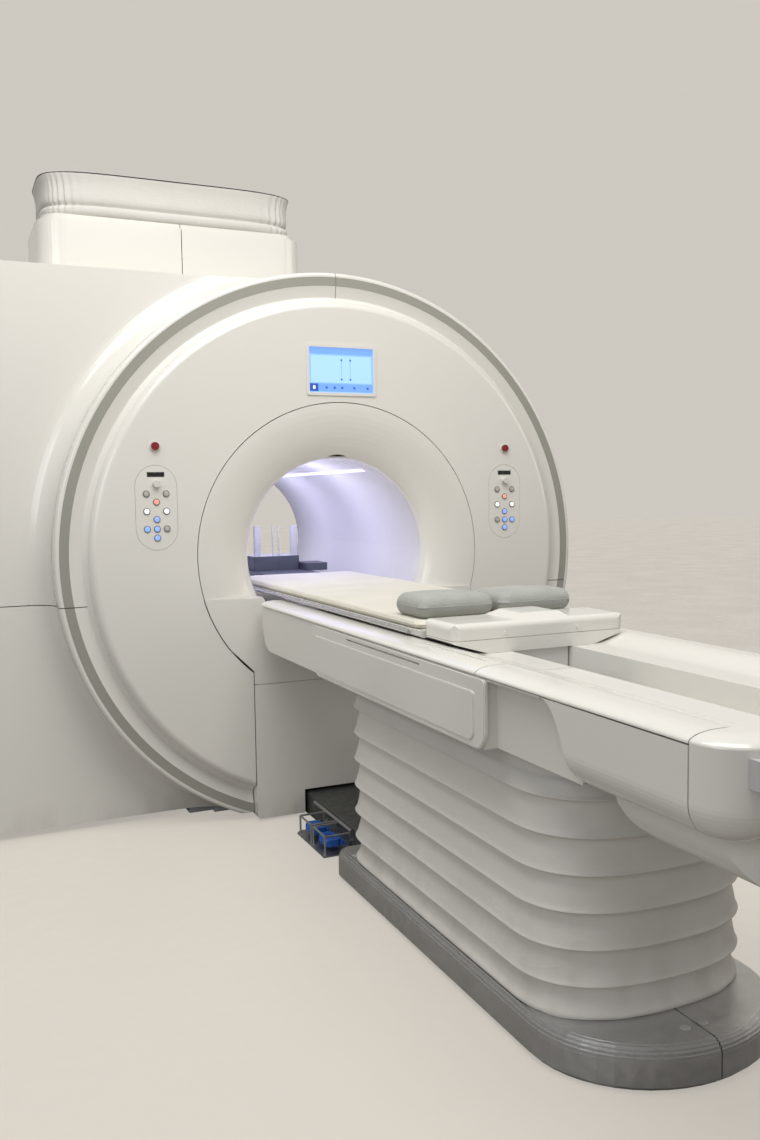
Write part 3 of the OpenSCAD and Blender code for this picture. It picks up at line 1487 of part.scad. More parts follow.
front_cover();
ring_cover_upper_left();
ring_cover_upper_right();
ring_cover_lower_left();
ring_cover_lower_right();
stripe_trim();
mouth_funnel();
dock_cover_upper();
dock_cover_lower();
side_cover_upper();
side_cover_lower();
body_cover_right();
rear_cover();
bore_liner();
rf_body_coil();
gradient_coil();
magnet_vessel();
magnet_frame();
turret_cover_left();
turret_cover_right();
ceiling_shroud();
cold_head();
display_bezel();
display_screen();
control_panel_left();
control_panel_right();
keypad_left();
keypad_right();
bore_bridge();
stop_button_left();
stop_button_right();
selector_knob_left();
selector_knob_right();
base_cover_left();
base_cover_right();
lift_base();
bellows();
floor_duct();
pedal_bracket();
pedal_in();
pedal_out();
table_frame();
nose_cover();
rail_cover_left();
rail_cover_right();
table_side_left();
table_side_right();
side_panel_left();
side_panel_right();
deck_cover();
foot_cover();
end_cap();
end_handle();
couch_top();
couch_pad();
strap_rails();
connector_box_base();
connector_box_cover();
bolster();
head_coil_base();
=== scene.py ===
"""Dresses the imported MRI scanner: procedural finishes, soft pieces, keys, display and studio."""

import math

import bmesh
import bpy
from bpy.props import FloatProperty, FloatVectorProperty, PointerProperty
from mathutils import Matrix, Vector, noise


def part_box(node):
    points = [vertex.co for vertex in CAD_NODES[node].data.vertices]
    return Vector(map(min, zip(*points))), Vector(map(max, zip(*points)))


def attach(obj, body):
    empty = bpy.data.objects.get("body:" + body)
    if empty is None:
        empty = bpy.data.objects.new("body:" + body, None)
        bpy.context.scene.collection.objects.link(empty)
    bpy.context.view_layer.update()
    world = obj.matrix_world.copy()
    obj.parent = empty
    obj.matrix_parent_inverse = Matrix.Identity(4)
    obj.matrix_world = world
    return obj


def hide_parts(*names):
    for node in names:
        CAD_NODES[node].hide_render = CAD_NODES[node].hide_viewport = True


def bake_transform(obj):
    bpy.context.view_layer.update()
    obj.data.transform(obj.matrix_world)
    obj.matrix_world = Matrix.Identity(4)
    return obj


bl_info = {
    "name": "MRI Scanner",
    "version": (1, 0, 0),
    "blender": (4, 5, 0),
    "location": "3D View > Sidebar > Scanner",
    "description": "Finishes, soft pieces, controls and studio for an MRI scanner with its patient table",
    "category": "Object",
}

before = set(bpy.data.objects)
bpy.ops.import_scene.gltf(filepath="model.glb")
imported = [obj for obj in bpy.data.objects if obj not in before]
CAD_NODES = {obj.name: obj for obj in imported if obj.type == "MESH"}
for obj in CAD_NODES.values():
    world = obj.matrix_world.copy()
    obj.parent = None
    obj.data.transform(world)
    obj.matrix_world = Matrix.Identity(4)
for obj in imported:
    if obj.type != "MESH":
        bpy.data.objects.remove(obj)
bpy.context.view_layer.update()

GANTRY_COVERS = [
    "front_cover", "ring_cover_upper_left", "ring_cover_upper_right", "ring_cover_lower_left",
    "ring_cover_lower_right", "mouth_funnel", "dock_cover_upper", "dock_cover_lower",
    "side_cover_upper", "side_cover_lower", "body_cover_right", "rear_cover",
    "turret_cover_left", "turret_cover_right",
]
TABLE_COVERS = [
    "nose_cover", "rail_cover_left", "rail_cover_right", "table_side_left", "table_side_right",
    "side_panel_left", "side_panel_right", "deck_cover", "foot_cover", "end_cap",
    "connector_box_base", "connector_box_cover",
]

# Height of the bore's axis and of the middle of both keypads
BORE_Z = 0.975
KEYPAD_Z = 1.156

# Keys beside each other, and rows of keys from the middle of the keypad
KEY_STEP = 0.034
KEY_ROWS = {
    "upper": 0.048, "middle": 0.020, "lit": -0.012, "cross_top": -0.040, "cross": -0.073, "cross_low": -0.104,
}
READOUT_RISE = 0.114

# Screen face, and where the round ends of the bellows' plan begin
SCREEN_Y = -0.80015
BELLOWS_END = 0.212

# Plan exponents of the bellows: rounder at the foot end than at the gantry
BELLOWS_FOOT_POWER = 0.8
BELLOWS_GANTRY_POWER = 0.5

# Camera: place, turn in radians, and focal length in pixels of a picture this high
CAMERA_AT = (-1.3874981, -4.2386813, 1.1914342)
CAMERA_YAW = 0.4189749274950402
CAMERA_PITCH = 0.07632684065039888
CAMERA_ROLL = 0.014902426479734894
FOCAL_PIXELS = 991.3543468459868
PICTURE_PIXELS = 1140
SENSOR_MM = 36.0

FLOOR_HALF = 30.0

class ScannerFinishes(bpy.types.PropertyGroup):
    """Colours of the scanner's visible finishes."""

    cover: FloatVectorProperty(
        name="Covers", description="Gloss of the moulded covers", subtype="COLOR", default=(0.76, 0.74, 0.69))
    cover_shade: FloatVectorProperty(
        name="Cover shade", description="Slightly aged tone that drifts over the covers", subtype="COLOR",
        default=(0.72, 0.695, 0.64))
    stripe: FloatVectorProperty(name="Ring stripe", description="Stripe let into the ring", subtype="COLOR",
                                default=(0.33, 0.32, 0.28))
    vinyl: FloatVectorProperty(name="Bellows vinyl", description="Coated cloth of the bellows",
                               subtype="COLOR", default=(0.70, 0.68, 0.635))
    base: FloatVectorProperty(name="Base metallic", description="Metallic paint of the base",
                              subtype="COLOR", default=(0.52, 0.525, 0.53))
    mattress: FloatVectorProperty(name="Mattress", description="Coated cloth of the mattress",
                                  subtype="COLOR", default=(0.74, 0.71, 0.60))
    foam: FloatVectorProperty(
        name="Bolster", description="Cover of the foam bolster", subtype="COLOR", default=(0.40, 0.41, 0.38))
    pedal: FloatVectorProperty(
        name="Pedals", description="Blue of the pedals", subtype="COLOR", default=(0.01, 0.13, 0.56))
    bore_light: FloatVectorProperty(
        name="Bore light", description="Light inside the bore", subtype="COLOR", default=(0.55, 0.52, 1.0))


class ScannerSizes(bpy.types.PropertyGroup):
    """Sizes of the pieces that are shaped here."""

    fold_depth: FloatProperty(
        name="Fold depth", description="How far the bellows' lips stand out of the hollows", unit="LENGTH",
        default=0.0165, min=0.01, max=0.03)
    wrinkle_depth: FloatProperty(
        name="Wrinkle depth", description="Depth of the wrinkles in the bellows", unit="LENGTH",
        default=0.0035, min=0.0, max=0.008)
    mattress_crown: FloatProperty(
        name="Mattress crown", description="How far the mattress swells in its middle", unit="LENGTH",
        default=0.004, min=0.0, max=0.01)
    key_height: FloatProperty(
        name="Key cap height", description="Height of the key caps over the keypad", unit="LENGTH",
        default=0.0014, min=0.0005, max=0.003)
    shroud_fold: FloatProperty(
        name="Shroud fold depth", description="Depth of the folds in the shroud's cloth", unit="LENGTH",
        default=0.010, min=0.0, max=0.02)


class ScannerStudio(bpy.types.PropertyGroup):
    """Lamps and backdrop."""

    key_power: FloatProperty(name="Key lamp", description="Power of the large ceiling lamp", unit="POWER",
                             default=116.0)
    fill_power: FloatProperty(name="Fill lamp", description="Power of the fill lamp", unit="POWER",
                              default=28.0)
    world_strength: FloatProperty(name="Ambient", description="Strength of the ambient light", default=0.31)
    backdrop: FloatVectorProperty(
        name="Backdrop", description="Colour of the background", subtype="COLOR", default=(0.62, 0.585, 0.53))
    bore_strength: FloatProperty(name="Bore light", description="Strength of the strips in the bore",
                                 default=1.6)
    bore_power: FloatProperty(name="Bore lamps", description="Power of each lamp in the bore", unit="POWER",
                              default=3.2)


# ---- shader groups ----


def shader_group(name, inputs, outputs):
    """A shader node group with its named sockets, and its input and output nodes."""
    tree = bpy.data.node_groups.new(name, "ShaderNodeTree")
    for label, kind, value in inputs:
        socket = tree.interface.new_socket(label, in_out="INPUT", socket_type="NodeSocket" + kind)
        socket.default_value = value
    for label, kind in outputs:
        tree.interface.new_socket(label, in_out="OUTPUT", socket_type="NodeSocket" + kind)
    return tree, tree.nodes.new("NodeGroupInput"), tree.nodes.new("NodeGroupOutput")


def wire(tree, kind, links=None, **settings):
    """Adds a node, sets its attributes and links {input: output socket or value}."""
    node = tree.nodes.new(kind)
    for key, value in settings.items():
        setattr(node, key, value)
    for key, source in (links or {}).items():
        if isinstance(source, bpy.types.NodeSocket):
            tree.links.new(source, node.inputs[key])
        else:
            node.inputs[key].default_value = source
    return node


def maths(tree, operation, *values):
    """Result of a maths node for sockets or plain values."""
    return wire(tree, "ShaderNodeMath", dict(enumerate(values)), operation=operation).outputs[0]


def place_in(tree, stretch=(1, 1, 1)):
    """Coordinates on the object, stretched along its axes."""
    at = wire(tree, "ShaderNodeTexCoord")
    return wire(tree, "ShaderNodeMapping", {"Vector": at.outputs["Object"], "Scale": stretch}).outputs[0]


def smudges_group():
    tree, given, out = shader_group(
        "Smudged gloss", [("Size", "Float", 3.0), ("Gloss", "Float", 0.25), ("Spread", "Float", 0.12)],
        [("Roughness", "Float"), ("Mask", "Float")])
    here = place_in(tree)
    broad = wire(tree, "ShaderNodeTexNoise", {"Vector": here, "Scale": given.outputs["Size"], "Detail": 5.0})
    many = maths(tree, "MULTIPLY", given.outputs["Size"], 9.0)
    close = wire(tree, "ShaderNodeTexNoise", {"Vector": here, "Scale": many, "Detail": 3.0})
    mixed = maths(tree, "MULTIPLY", broad.outputs[0], close.outputs[0])
    mask = wire(tree, "ShaderNodeMapRange", {"Value": mixed, "From Min": 0.16, "From Max": 0.36})
    add = maths(tree, "MULTIPLY_ADD", mask.outputs[0], given.outputs["Spread"], given.outputs["Gloss"])
    tree.links.new(add, out.inputs["Roughness"])
    tree.links.new(mask.outputs[0], out.inputs["Mask"])
    return tree


def drift_group():
    tree, given, out = shader_group(
        "Colour drift", [("Colour", "Color", (1, 1, 1, 1)), ("Second colour", "Color", (0.5, 0.5, 0.5, 1)),
                         ("Size", "Float", 1.5), ("Amount", "Float", 0.5)], [("Colour", "Color")])
    patches = wire(tree, "ShaderNodeTexNoise", {"Vector": place_in(tree), "Scale": given.outputs["Size"],
                                                "Detail": 3.0})
    part = wire(tree, "ShaderNodeMapRange", {"Value": patches.outputs[0], "From Min": 0.35, "From Max": 0.68})
    share = maths(tree, "MULTIPLY", part.outputs[0], given.outputs["Amount"])
    mix = wire(tree, "ShaderNodeMix", {0: share, 6: given.outputs["Colour"],
                                       7: given.outputs["Second colour"]}, data_type="RGBA")
    tree.links.new(mix.outputs[2], out.inputs["Colour"])
    return tree


# Darker towards the floor, broken up by blotches: partly real floor grime, partly painted contact shade near
# the floor.
def grime_and_contact_shade_group():
    tree, given, out = shader_group(
        "Floor grime", [("Top", "Float", 0.25), ("Amount", "Float", 0.6)], [("Mask", "Float")])
    at = wire(tree, "ShaderNodeTexCoord")
    split = wire(tree, "ShaderNodeSeparateXYZ", {0: at.outputs["Object"]})
    low = wire(tree, "ShaderNodeMapRange", {"Value": split.outputs[2], "From Min": given.outputs["Top"],
                                            "From Max": 0.0, "To Min": 0.0, "To Max": 1.0})
    blotch = wire(tree, "ShaderNodeTexNoise", {"Vector": place_in(tree, (1, 1, 0.35)), "Scale": 13.0,
                                               "Detail": 6.0})
    seen = wire(tree, "ShaderNodeMapRange", {"Value": blotch.outputs[0], "From Min": 0.42, "From Max": 0.72})
    both = maths(tree, "MULTIPLY", low.outputs[0], seen.outputs[0])
    part = maths(tree, "MULTIPLY", both, given.outputs["Amount"])
    tree.links.new(part, out.inputs["Mask"])
    return tree


def scratches_group():
    tree, given, out = shader_group(
        "Fine scratches", [("Amount", "Float", 0.5)], [("Mask", "Float")])
    masks = []
    for stretch, scale in (((1.0, 3.0, 26.0), 14.0), ((24.0, 2.0, 3.0), 11.0)):
        streak = wire(tree, "ShaderNodeTexNoise", {"Vector": place_in(tree, stretch), "Scale": scale,
                                                   "Detail": 2.0, "Distortion": 0.6})
        masks.append(wire(tree, "ShaderNodeMapRange",
                          {"Value": streak.outputs[0], "From Min": 0.70, "From Max": 0.76}).outputs[0])
    most = maths(tree, "MAXIMUM", masks[0], masks[1])
    part = maths(tree, "MULTIPLY", most, given.outputs["Amount"])
    tree.links.new(part, out.inputs["Mask"])
    return tree


def weave_group():
    tree, given, out = shader_group("Coated weave", [("Size", "Float", 400.0)], [("Height", "Float")])
    waves = []
    for direction in ("X", "Y", "Z"):
        waves.append(wire(tree, "ShaderNodeTexWave", {"Vector": place_in(tree),
                                                      "Scale": given.outputs["Size"], "Distortion": 1.2,
                                                      "Detail": 1.0}, bands_direction=direction))
    first = maths(tree, "ADD", waves[0].outputs[1], waves[1].outputs[1])
    total = maths(tree, "ADD", first, waves[2].outputs[1])
    tree.links.new(total, out.inputs["Height"])
    return tree


def creases_group():
    tree, given, out = shader_group("Soft creases", [("Size", "Float", 7.0)], [("Height", "Float")])
    bent = wire(tree, "ShaderNodeTexNoise", {"Vector": place_in(tree, (1.0, 1.0, 2.2)),
                                             "Scale": given.outputs["Size"], "Detail": 3.0,
                                             "Distortion": 1.6})
    line = maths(tree, "SUBTRACT", bent.outputs[0], 0.5)
    fold = maths(tree, "ABSOLUTE", line)
    sharp = wire(tree, "ShaderNodeMapRange", {"Value": fold, "From Min": 0.0, "From Max": 0.09,
                                              "To Min": 1.0, "To Max": 0.0})
    tree.links.new(sharp.outputs[0], out.inputs["Height"])
    return tree


def grain_group():
    tree, given, out = shader_group("Moulded grain", [("Size", "Float", 900.0)], [("Height", "Float")])
    fine = wire(tree, "ShaderNodeTexNoise", {"Vector": place_in(tree), "Scale": given.outputs["Size"],
                                             "Detail": 2.0})
    tree.links.new(fine.outputs[0], out.inputs["Height"])
    return tree


GROUPS = {}


class Finish:
    """One procedural material: a Principled shader with patterns from the shader groups."""

    def __init__(self, name, colour, roughness, **plain):
        self.material = bpy.data.materials.new(name)
        self.material.use_nodes = True
        self.tree = self.material.node_tree
        self.shader = self.tree.nodes["Principled BSDF"]
        self.colour = wire(self.tree, "ShaderNodeRGB").outputs[0]
        self.colour.default_value = (*colour, 1.0)
        self.relief = None
        self.set(Roughness=roughness, **plain)

    def set(self, **plain):
        for key, value in plain.items():
            self.shader.inputs[key.replace("_", " ")].default_value = value

    def group(self, name, **links):
        node = wire(self.tree, "ShaderNodeGroup", node_tree=GROUPS[name])
        for key, value in links.items():
            socket = node.inputs[key.replace("_", " ")]
            if isinstance(value, bpy.types.NodeSocket):
                self.tree.links.new(value, socket)
            else:
                socket.default_value = value
        return node

    def mask(self, name, **links):
        """First output of one of the shader groups."""
        return self.group(name, **links).outputs[0]

    def drift(self, second, size, amount):
        node = self.group("Colour drift", Size=size, Amount=amount)
        self.tree.links.new(self.colour, node.inputs["Colour"])
        node.inputs["Second colour"].default_value = (*second, 1.0)
        self.colour = node.outputs[0]
        return self

    def stain(self, mask, colour):
        """Lays a colour over the finish where the mask is white."""
        self.colour = wire(self.tree, "ShaderNodeMix", {0: mask, 6: self.colour, 7: (*colour, 1.0)},
                           data_type="RGBA").outputs[2]
        return self

    def smudge(self, size, gloss, spread):
        node = self.group("Smudged gloss", Size=size, Gloss=gloss, Spread=spread)
        self.tree.links.new(node.outputs["Roughness"], self.shader.inputs["Roughness"])
        return node.outputs["Mask"]

    def bump(self, height, strength, distance):
        links = {"Height": height, "Strength": strength, "Distance": distance}
        if self.relief is not None:
            links["Normal"] = self.relief
        self.relief = wire(self.tree, "ShaderNodeBump", links).outputs[0]
        return self

    def done(self):
        self.tree.links.new(self.colour, self.shader.inputs["Base Color"])
        if self.relief is not None:
            self.tree.links.new(self.relief, self.shader.inputs["Normal"])
        return self.material


# ---- finishes ----


def cover_finish(colours, name="Moulded cover gloss", gloss=0.20):
    finish = Finish(name, colours.cover, 0.25, Coat_Weight=0.45, Coat_Roughness=0.10)
    finish.drift(colours.cover_shade, 0.5, 0.2)
    mask = finish.smudge(2.6, gloss, 0.03)
    faint = maths(finish.tree, "MULTIPLY", mask, 0.01)
    finish.stain(faint, (0.52, 0.49, 0.43))
    # Painted contact shade with floor grime: the covers' lowest part is darker towards the floor.
    finish.stain(finish.mask("Floor grime", Top=0.12, Amount=0.35), (0.30, 0.26, 0.21))
    finish.bump(finish.mask("Moulded grain", Size=420.0), 0.05, 0.0006)
    return finish.done()


def stripe_finish(colours):
    finish = Finish("Ring stripe", colours.stripe, 0.42, Coat_Weight=0.15)
    finish.drift((0.29, 0.28, 0.245), 2.0, 0.4)
    finish.smudge(4.0, 0.34, 0.2)
    finish.bump(finish.mask("Moulded grain", Size=800.0), 0.12, 0.0006)
    return finish.done()


def liner_finish(colours):
    finish = Finish("Bore liner satin", (0.72, 0.71, 0.73), 0.4, Coat_Weight=0.1)
    finish.drift((0.66, 0.65, 0.69), 1.6, 0.6)
    finish.smudge(3.0, 0.32, 0.18)
    finish.bump(finish.mask("Moulded grain", Size=300.0), 0.08, 0.0008)
    return finish.done()


def paint_finish(name, colour, second, rough=0.4, metallic=0.0, grain=500.0, scratch=0.3, worn=None):
    finish = Finish(name, colour, rough, Metallic=metallic)
    finish.drift(second, 3.0, 0.6)
    finish.smudge(5.0, rough - 0.06, 0.2)
    finish.stain(finish.mask("Fine scratches", Amount=scratch), worn or (0.5, 0.5, 0.5))
    finish.bump(finish.mask("Moulded grain", Size=grain), 0.15, 0.0008)
    return finish.done()


def base_finish(colours):
    finish = Finish("Base silver metallic", colours.base, 0.36, Metallic=0.85, Coat_Weight=0.3,
                    Coat_Roughness=0.15)
    finish.drift((0.44, 0.445, 0.45), 2.2, 0.5)
    finish.smudge(5.0, 0.29, 0.2)
    # Painted glints: lighter specks at the flake cells stand for the sparkle of the metallic paint.
    flake_glints = wire(finish.tree, "ShaderNodeTexVoronoi", {"Vector": place_in(finish.tree), "Scale": 900.0})
    shine = wire(finish.tree, "ShaderNodeMapRange", {"Value": flake_glints.outputs[0], "From Min": 0.0,
                                                     "From Max": 0.25, "To Min": 0.25, "To Max": 0.0})
    finish.stain(shine.outputs[0], (0.68, 0.69, 0.70))
    finish.stain(finish.mask("Fine scratches", Amount=0.10), (0.50, 0.50, 0.48))
    # Painted contact shade with floor grime: the foot of the base is darker.
    finish.stain(finish.mask("Floor grime", Top=0.03, Amount=0.6), (0.20, 0.19, 0.17))
    return finish.done()


def vinyl_finish(colours):
    finish = Finish("Bellows vinyl", colours.vinyl, 0.5, Sheen_Weight=0.08)
    finish.drift((0.65, 0.63, 0.585), 4.0, 0.4)
    finish.smudge(8.0, 0.42, 0.2)
    # Painted shade with floor grime: the lower folds of the bellows are darker towards the floor.
    finish.stain(finish.mask("Floor grime", Top=0.42, Amount=0.35), (0.36, 0.31, 0.26))
    finish.bump(finish.mask("Soft creases", Size=5.5), 0.08, 0.003)
    finish.bump(finish.mask("Coated weave", Size=520.0), 0.10, 0.0004)
    return finish.done()


def shroud_finish():
    finish = Finish("Shroud cloth", (0.66, 0.64, 0.60), 0.7, Sheen_Weight=0.15)
    finish.drift((0.62, 0.60, 0.555), 5.0, 0.5)
    finish.bump(finish.mask("Soft creases", Size=9.0), 0.12, 0.003)
    finish.bump(finish.mask("Coated weave", Size=420.0), 0.2, 0.0005)
    return finish.done()


def mattress_finish(colours):
    finish = Finish("Mattress cloth", colours.mattress, 0.55, Sheen_Weight=0.1)
    finish.drift((0.66, 0.63, 0.53), 7.0, 0.6)
    finish.smudge(9.0, 0.48, 0.16)
    finish.bump(finish.mask("Soft creases", Size=6.0), 0.15, 0.003)
    finish.bump(finish.mask("Coated weave", Size=600.0), 0.2, 0.0004)
    return finish.done()


def foam_finish(colours):
    finish = Finish("Bolster cloth", colours.foam, 0.62, Sheen_Weight=0.15)
    finish.drift((0.33, 0.34, 0.31), 9.0, 0.6)
    finish.bump(finish.mask("Soft creases", Size=12.0), 0.2, 0.003)
    finish.bump(finish.mask("Coated weave", Size=500.0), 0.25, 0.0005)
    return finish.done()


def steel_finish(name, colour, rough=0.3):
    finish = Finish(name, colour, rough, Metallic=1.0)
    grainy = wire(finish.tree, "ShaderNodeTexNoise", {"Vector": place_in(finish.tree, (40.0, 1.0, 40.0)),
                                                      "Scale": 30.0, "Detail": 4.0})
    finish.smudge(20.0, rough - 0.06, 0.2)
    finish.bump(grainy.outputs[0], 0.12, 0.0005)
    return finish.done()


def glow_finish(name, colour, strength):
    """Lit plastic: brighter in the middle of its pattern than at its edge."""
    finish = Finish(name, colour, 0.35, Emission_Strength=strength)
    cloud = wire(finish.tree, "ShaderNodeTexNoise", {"Vector": place_in(finish.tree), "Scale": 180.0})
    lit = wire(finish.tree, "ShaderNodeMapRange", {"Value": cloud.outputs[0], "To Min": 0.82, "To Max": 1.12})
    glow = wire(finish.tree, "ShaderNodeVectorMath", {0: finish.colour, "Scale": lit.outputs[0]},
                operation="SCALE")
    finish.tree.links.new(glow.outputs[0], finish.shader.inputs["Emission Color"])
    return finish.done()


def coil_finish():
    """Dark housing below, pale posts above."""
    finish = Finish("Head coil housing", (0.085, 0.095, 0.125), 0.45)
    at = wire(finish.tree, "ShaderNodeTexCoord")
    split = wire(finish.tree, "ShaderNodeSeparateXYZ", {0: at.outputs["Object"]})
    post = wire(finish.tree, "ShaderNodeMapRange", {"Value": split.outputs[2], "From Min": 0.9203,
                                                    "From Max": 0.9213})
    finish.drift((0.11, 0.12, 0.15), 9.0, 0.6)
    finish.stain(post.outputs[0], (0.56, 0.56, 0.58))
    finish.smudge(12.0, 0.36, 0.2)
    finish.bump(finish.mask("Moulded grain", Size=900.0), 0.2, 0.0006)
    return finish.done()


def pedal_finish(colours):
    finish = Finish("Pedal blue", colours.pedal, 0.4, Coat_Weight=0.2)
    finish.drift((0.01, 0.09, 0.42), 18.0, 0.7)
    finish.smudge(14.0, 0.3, 0.25)
    finish.stain(finish.mask("Fine scratches", Amount=0.5), (0.12, 0.26, 0.6))
    finish.bump(finish.mask("Moulded grain", Size=700.0), 0.25, 0.0008)
    return finish.done()


def give(material, *nodes):
    """Puts a finish on solids of the frame."""
    for name in nodes:
        slots = CAD_NODES[name].material_slots
        if not slots:
            CAD_NODES[name].data.materials.append(material)
        for slot in slots:
            slot.material = material


# ---- mesh helpers ----


def piece(name, points, faces, material, body, smooth=True):
    """A mesh piece that rides on a body of the frame."""
    mesh = bpy.data.meshes.new(name)
    mesh.from_pydata([tuple(p) for p in points], [], faces)
    mesh.validate()
    built = bmesh.new()
    built.from_mesh(mesh)
    bmesh.ops.remove_doubles(built, verts=built.verts, dist=1e-6)
    bmesh.ops.recalc_face_normals(built, faces=built.faces)
    built.to_mesh(mesh)
    built.free()
    for face in mesh.polygons:
        face.use_smooth = smooth
    mesh.materials.append(material)
    shown = bpy.data.objects.new(name, mesh)
    bpy.context.scene.collection.objects.link(shown)
    if body:
        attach(shown, body)
    return shown


def tube_faces(rings, count, closed_ends=True):
    """Faces between rings of points, round after round."""
    faces = [(k * count + i, k * count + (i + 1) % count, (k + 1) * count + (i + 1) % count,
              (k + 1) * count + i) for k in range(rings - 1) for i in range(count)]
    if closed_ends:
        faces.append(tuple(reversed(range(count))))
        faces.append(tuple(range((rings - 1) * count, rings * count)))
    return faces


def lathe(profile, centre, count=32):
    """Points and faces of a round piece about an axis along Y. The profile gives radius and depth."""
    points = [(centre[0] + r * math.cos(2 * math.pi * i / count), centre[1] + y,
               centre[2] + r * math.sin(2 * math.pi * i / count)) for r, y in profile for i in range(count)]
    return points, tube_faces(len(profile), count)


def soft_box(low, high, plan_round, edge_round, crown, sag=0.0, steps=(56, 28), seed=0.0):
    """A crowned cushion with round edges: points and faces of its closed form."""
    low, high = Vector(low), Vector(high)
    mid, half = (low + high) / 2, (high - low) / 2
    nx, ny = steps

    def spread(i, n):
        u = 2.0 * i / n - 1.0
        return math.copysign(1 - (1 - abs(u)) ** 1.7, u)

    def inside(x, y):
        qx, qy = abs(x) - (half.x - plan_round), abs(y) - (half.y - plan_round)
        outer = math.hypot(max(qx, 0), max(qy, 0)) + min(max(qx, qy), 0)
        return plan_round - outer

    points, index = [], {}
    for side in (1, -1):
        for j in range(ny + 1):
            for i in range(nx + 1):
                x, y = spread(i, nx) * half.x, spread(j, ny) * half.y
                d = inside(x, y)
                if d < 0:
                    qx, qy = abs(x) - (half.x - plan_round), abs(y) - (half.y - plan_round)
                    k = plan_round / math.hypot(qx, qy)
                    x = math.copysign(half.x - plan_round + qx * k, x)
                    y = math.copysign(half.y - plan_round + qy * k, y)
                    d = 0.0
                t = 1 - min(d / edge_round, 1.0)
                height = half.z * math.sqrt(max(1 - t * t, 0.0))
                full = (1 - (x / half.x) ** 2) * (1 - (y / half.y) ** 4)
                rough = noise.noise(Vector((x * 5 + seed, y * 5, side)))
                z = mid.z + side * height
                if side > 0:
                    z += crown * full + sag * rough * min(d / edge_round, 1.0)
                index[side, i, j] = len(points)
                points.append((mid.x + x, mid.y + y, z))
    faces = []
    for j in range(ny):
        for i in range(nx):
            a, b, c, d = (index[1, i, j], index[1, i + 1, j], index[1, i + 1, j + 1], index[1, i, j + 1])
            faces.append((a, b, c, d))
            a, b, c, d = (index[-1, i, j], index[-1, i + 1, j], index[-1, i + 1, j + 1], index[-1, i, j + 1])
            faces.append((d, c, b, a))
    return points, faces


def piping(path, radius, count=8):
    """Points and faces of a closed cord sewn round an edge."""
    n = len(path)
    points, faces = [], []
    for i, p in enumerate(path):
        along = (path[(i + 1) % n] - path[i - 1]).normalized()
        across = along.cross(Vector((0, 0, 1))).normalized()
        up = across.cross(along)
        for k in range(count):
            a = 2 * math.pi * k / count
            points.append(p + across * radius * math.cos(a) + up * radius * math.sin(a))
    for i in range(n):
        for k in range(count):
            faces.append((i * count + k, i * count + (k + 1) % count,
                          ((i + 1) % n) * count + (k + 1) % count, ((i + 1) % n) * count + k))
    return points, faces


def round_path(low, high, radius, z, steps=10):
    """Closed path round a rectangle with round corners."""
    path = []
    corners = [(high[0] - radius, high[1] - radius, 0), (low[0] + radius, high[1] - radius, 90),
               (low[0] + radius, low[1] + radius, 180), (high[0] - radius, low[1] + radius, 270)]
    for cx, cy, start in corners:
        for i in range(steps + 1):
            a = math.radians(start + 90 * i / steps)
            path.append(Vector((cx + radius * math.cos(a), cy + radius * math.sin(a), z)))
    return path


# ---- operators ----


class SCANNER_OT_covers(bpy.types.Operator):
    """Finish the gantry's covers, ring stripe and bore"""

    bl_idname = "scanner.covers"
    bl_label = "Gantry covers"

    def execute(self, context):
        colours = context.scene.scanner_finishes
        give(cover_finish(colours), *GANTRY_COVERS)
        give(stripe_finish(colours), "stripe_trim")
        give(liner_finish(colours), "bore_liner", "bore_bridge")
        return {"FINISHED"}


class SCANNER_OT_magnet(bpy.types.Operator):
    """Finish the magnet, its coils and its frame"""

    bl_idname = "scanner.magnet"
    bl_label = "Magnet"

    def execute(self, context):
        give(paint_finish("Vessel paint", (0.42, 0.43, 0.44), (0.36, 0.37, 0.38), 0.45), "magnet_vessel",
             "magnet_frame")
        give(paint_finish("Coil resin", (0.20, 0.17, 0.11), (0.15, 0.13, 0.09), 0.3), "gradient_coil")
        give(paint_finish("Coil copper", (0.62, 0.30, 0.16), (0.45, 0.21, 0.12), 0.35, metallic=0.9),
             "rf_body_coil")
        give(steel_finish("Cold head metal", (0.55, 0.55, 0.57)), "cold_head")
        return {"FINISHED"}


class SCANNER_OT_table(bpy.types.Operator):
    """Finish the patient table, its lift and its base"""

    bl_idname = "scanner.table"
    bl_label = "Patient table"

    def execute(self, context):
        colours = context.scene.scanner_finishes
        give(cover_finish(colours, "Table cover gloss", 0.16), *TABLE_COVERS)
        give(paint_finish("Lift steel", (0.30, 0.31, 0.32), (0.25, 0.26, 0.27), 0.45, 0.3), "lift_base",
             "table_frame")
        give(base_finish(colours), "base_cover_left", "base_cover_right")
        give(paint_finish("Duct paint", (0.052, 0.056, 0.052), (0.075, 0.078, 0.072), 0.42, scratch=0.4,
                          worn=(0.2, 0.2, 0.19)), "floor_duct")
        give(steel_finish("Bracket steel", (0.42, 0.425, 0.43), 0.38), "pedal_bracket")
        give(pedal_finish(colours), "pedal_in", "pedal_out")
        give(paint_finish("Handle grey", (0.50, 0.50, 0.49), (0.46, 0.46, 0.45), 0.35, scratch=0.05),
             "end_handle")
        give(paint_finish("Couch top gloss", (0.60, 0.59, 0.56), (0.57, 0.56, 0.53), 0.3, scratch=0.03),
             "couch_top")
        give(steel_finish("Rod steel", (0.55, 0.55, 0.56), 0.25), "strap_rails")
        give(coil_finish(), "head_coil_base")
        return {"FINISHED"}


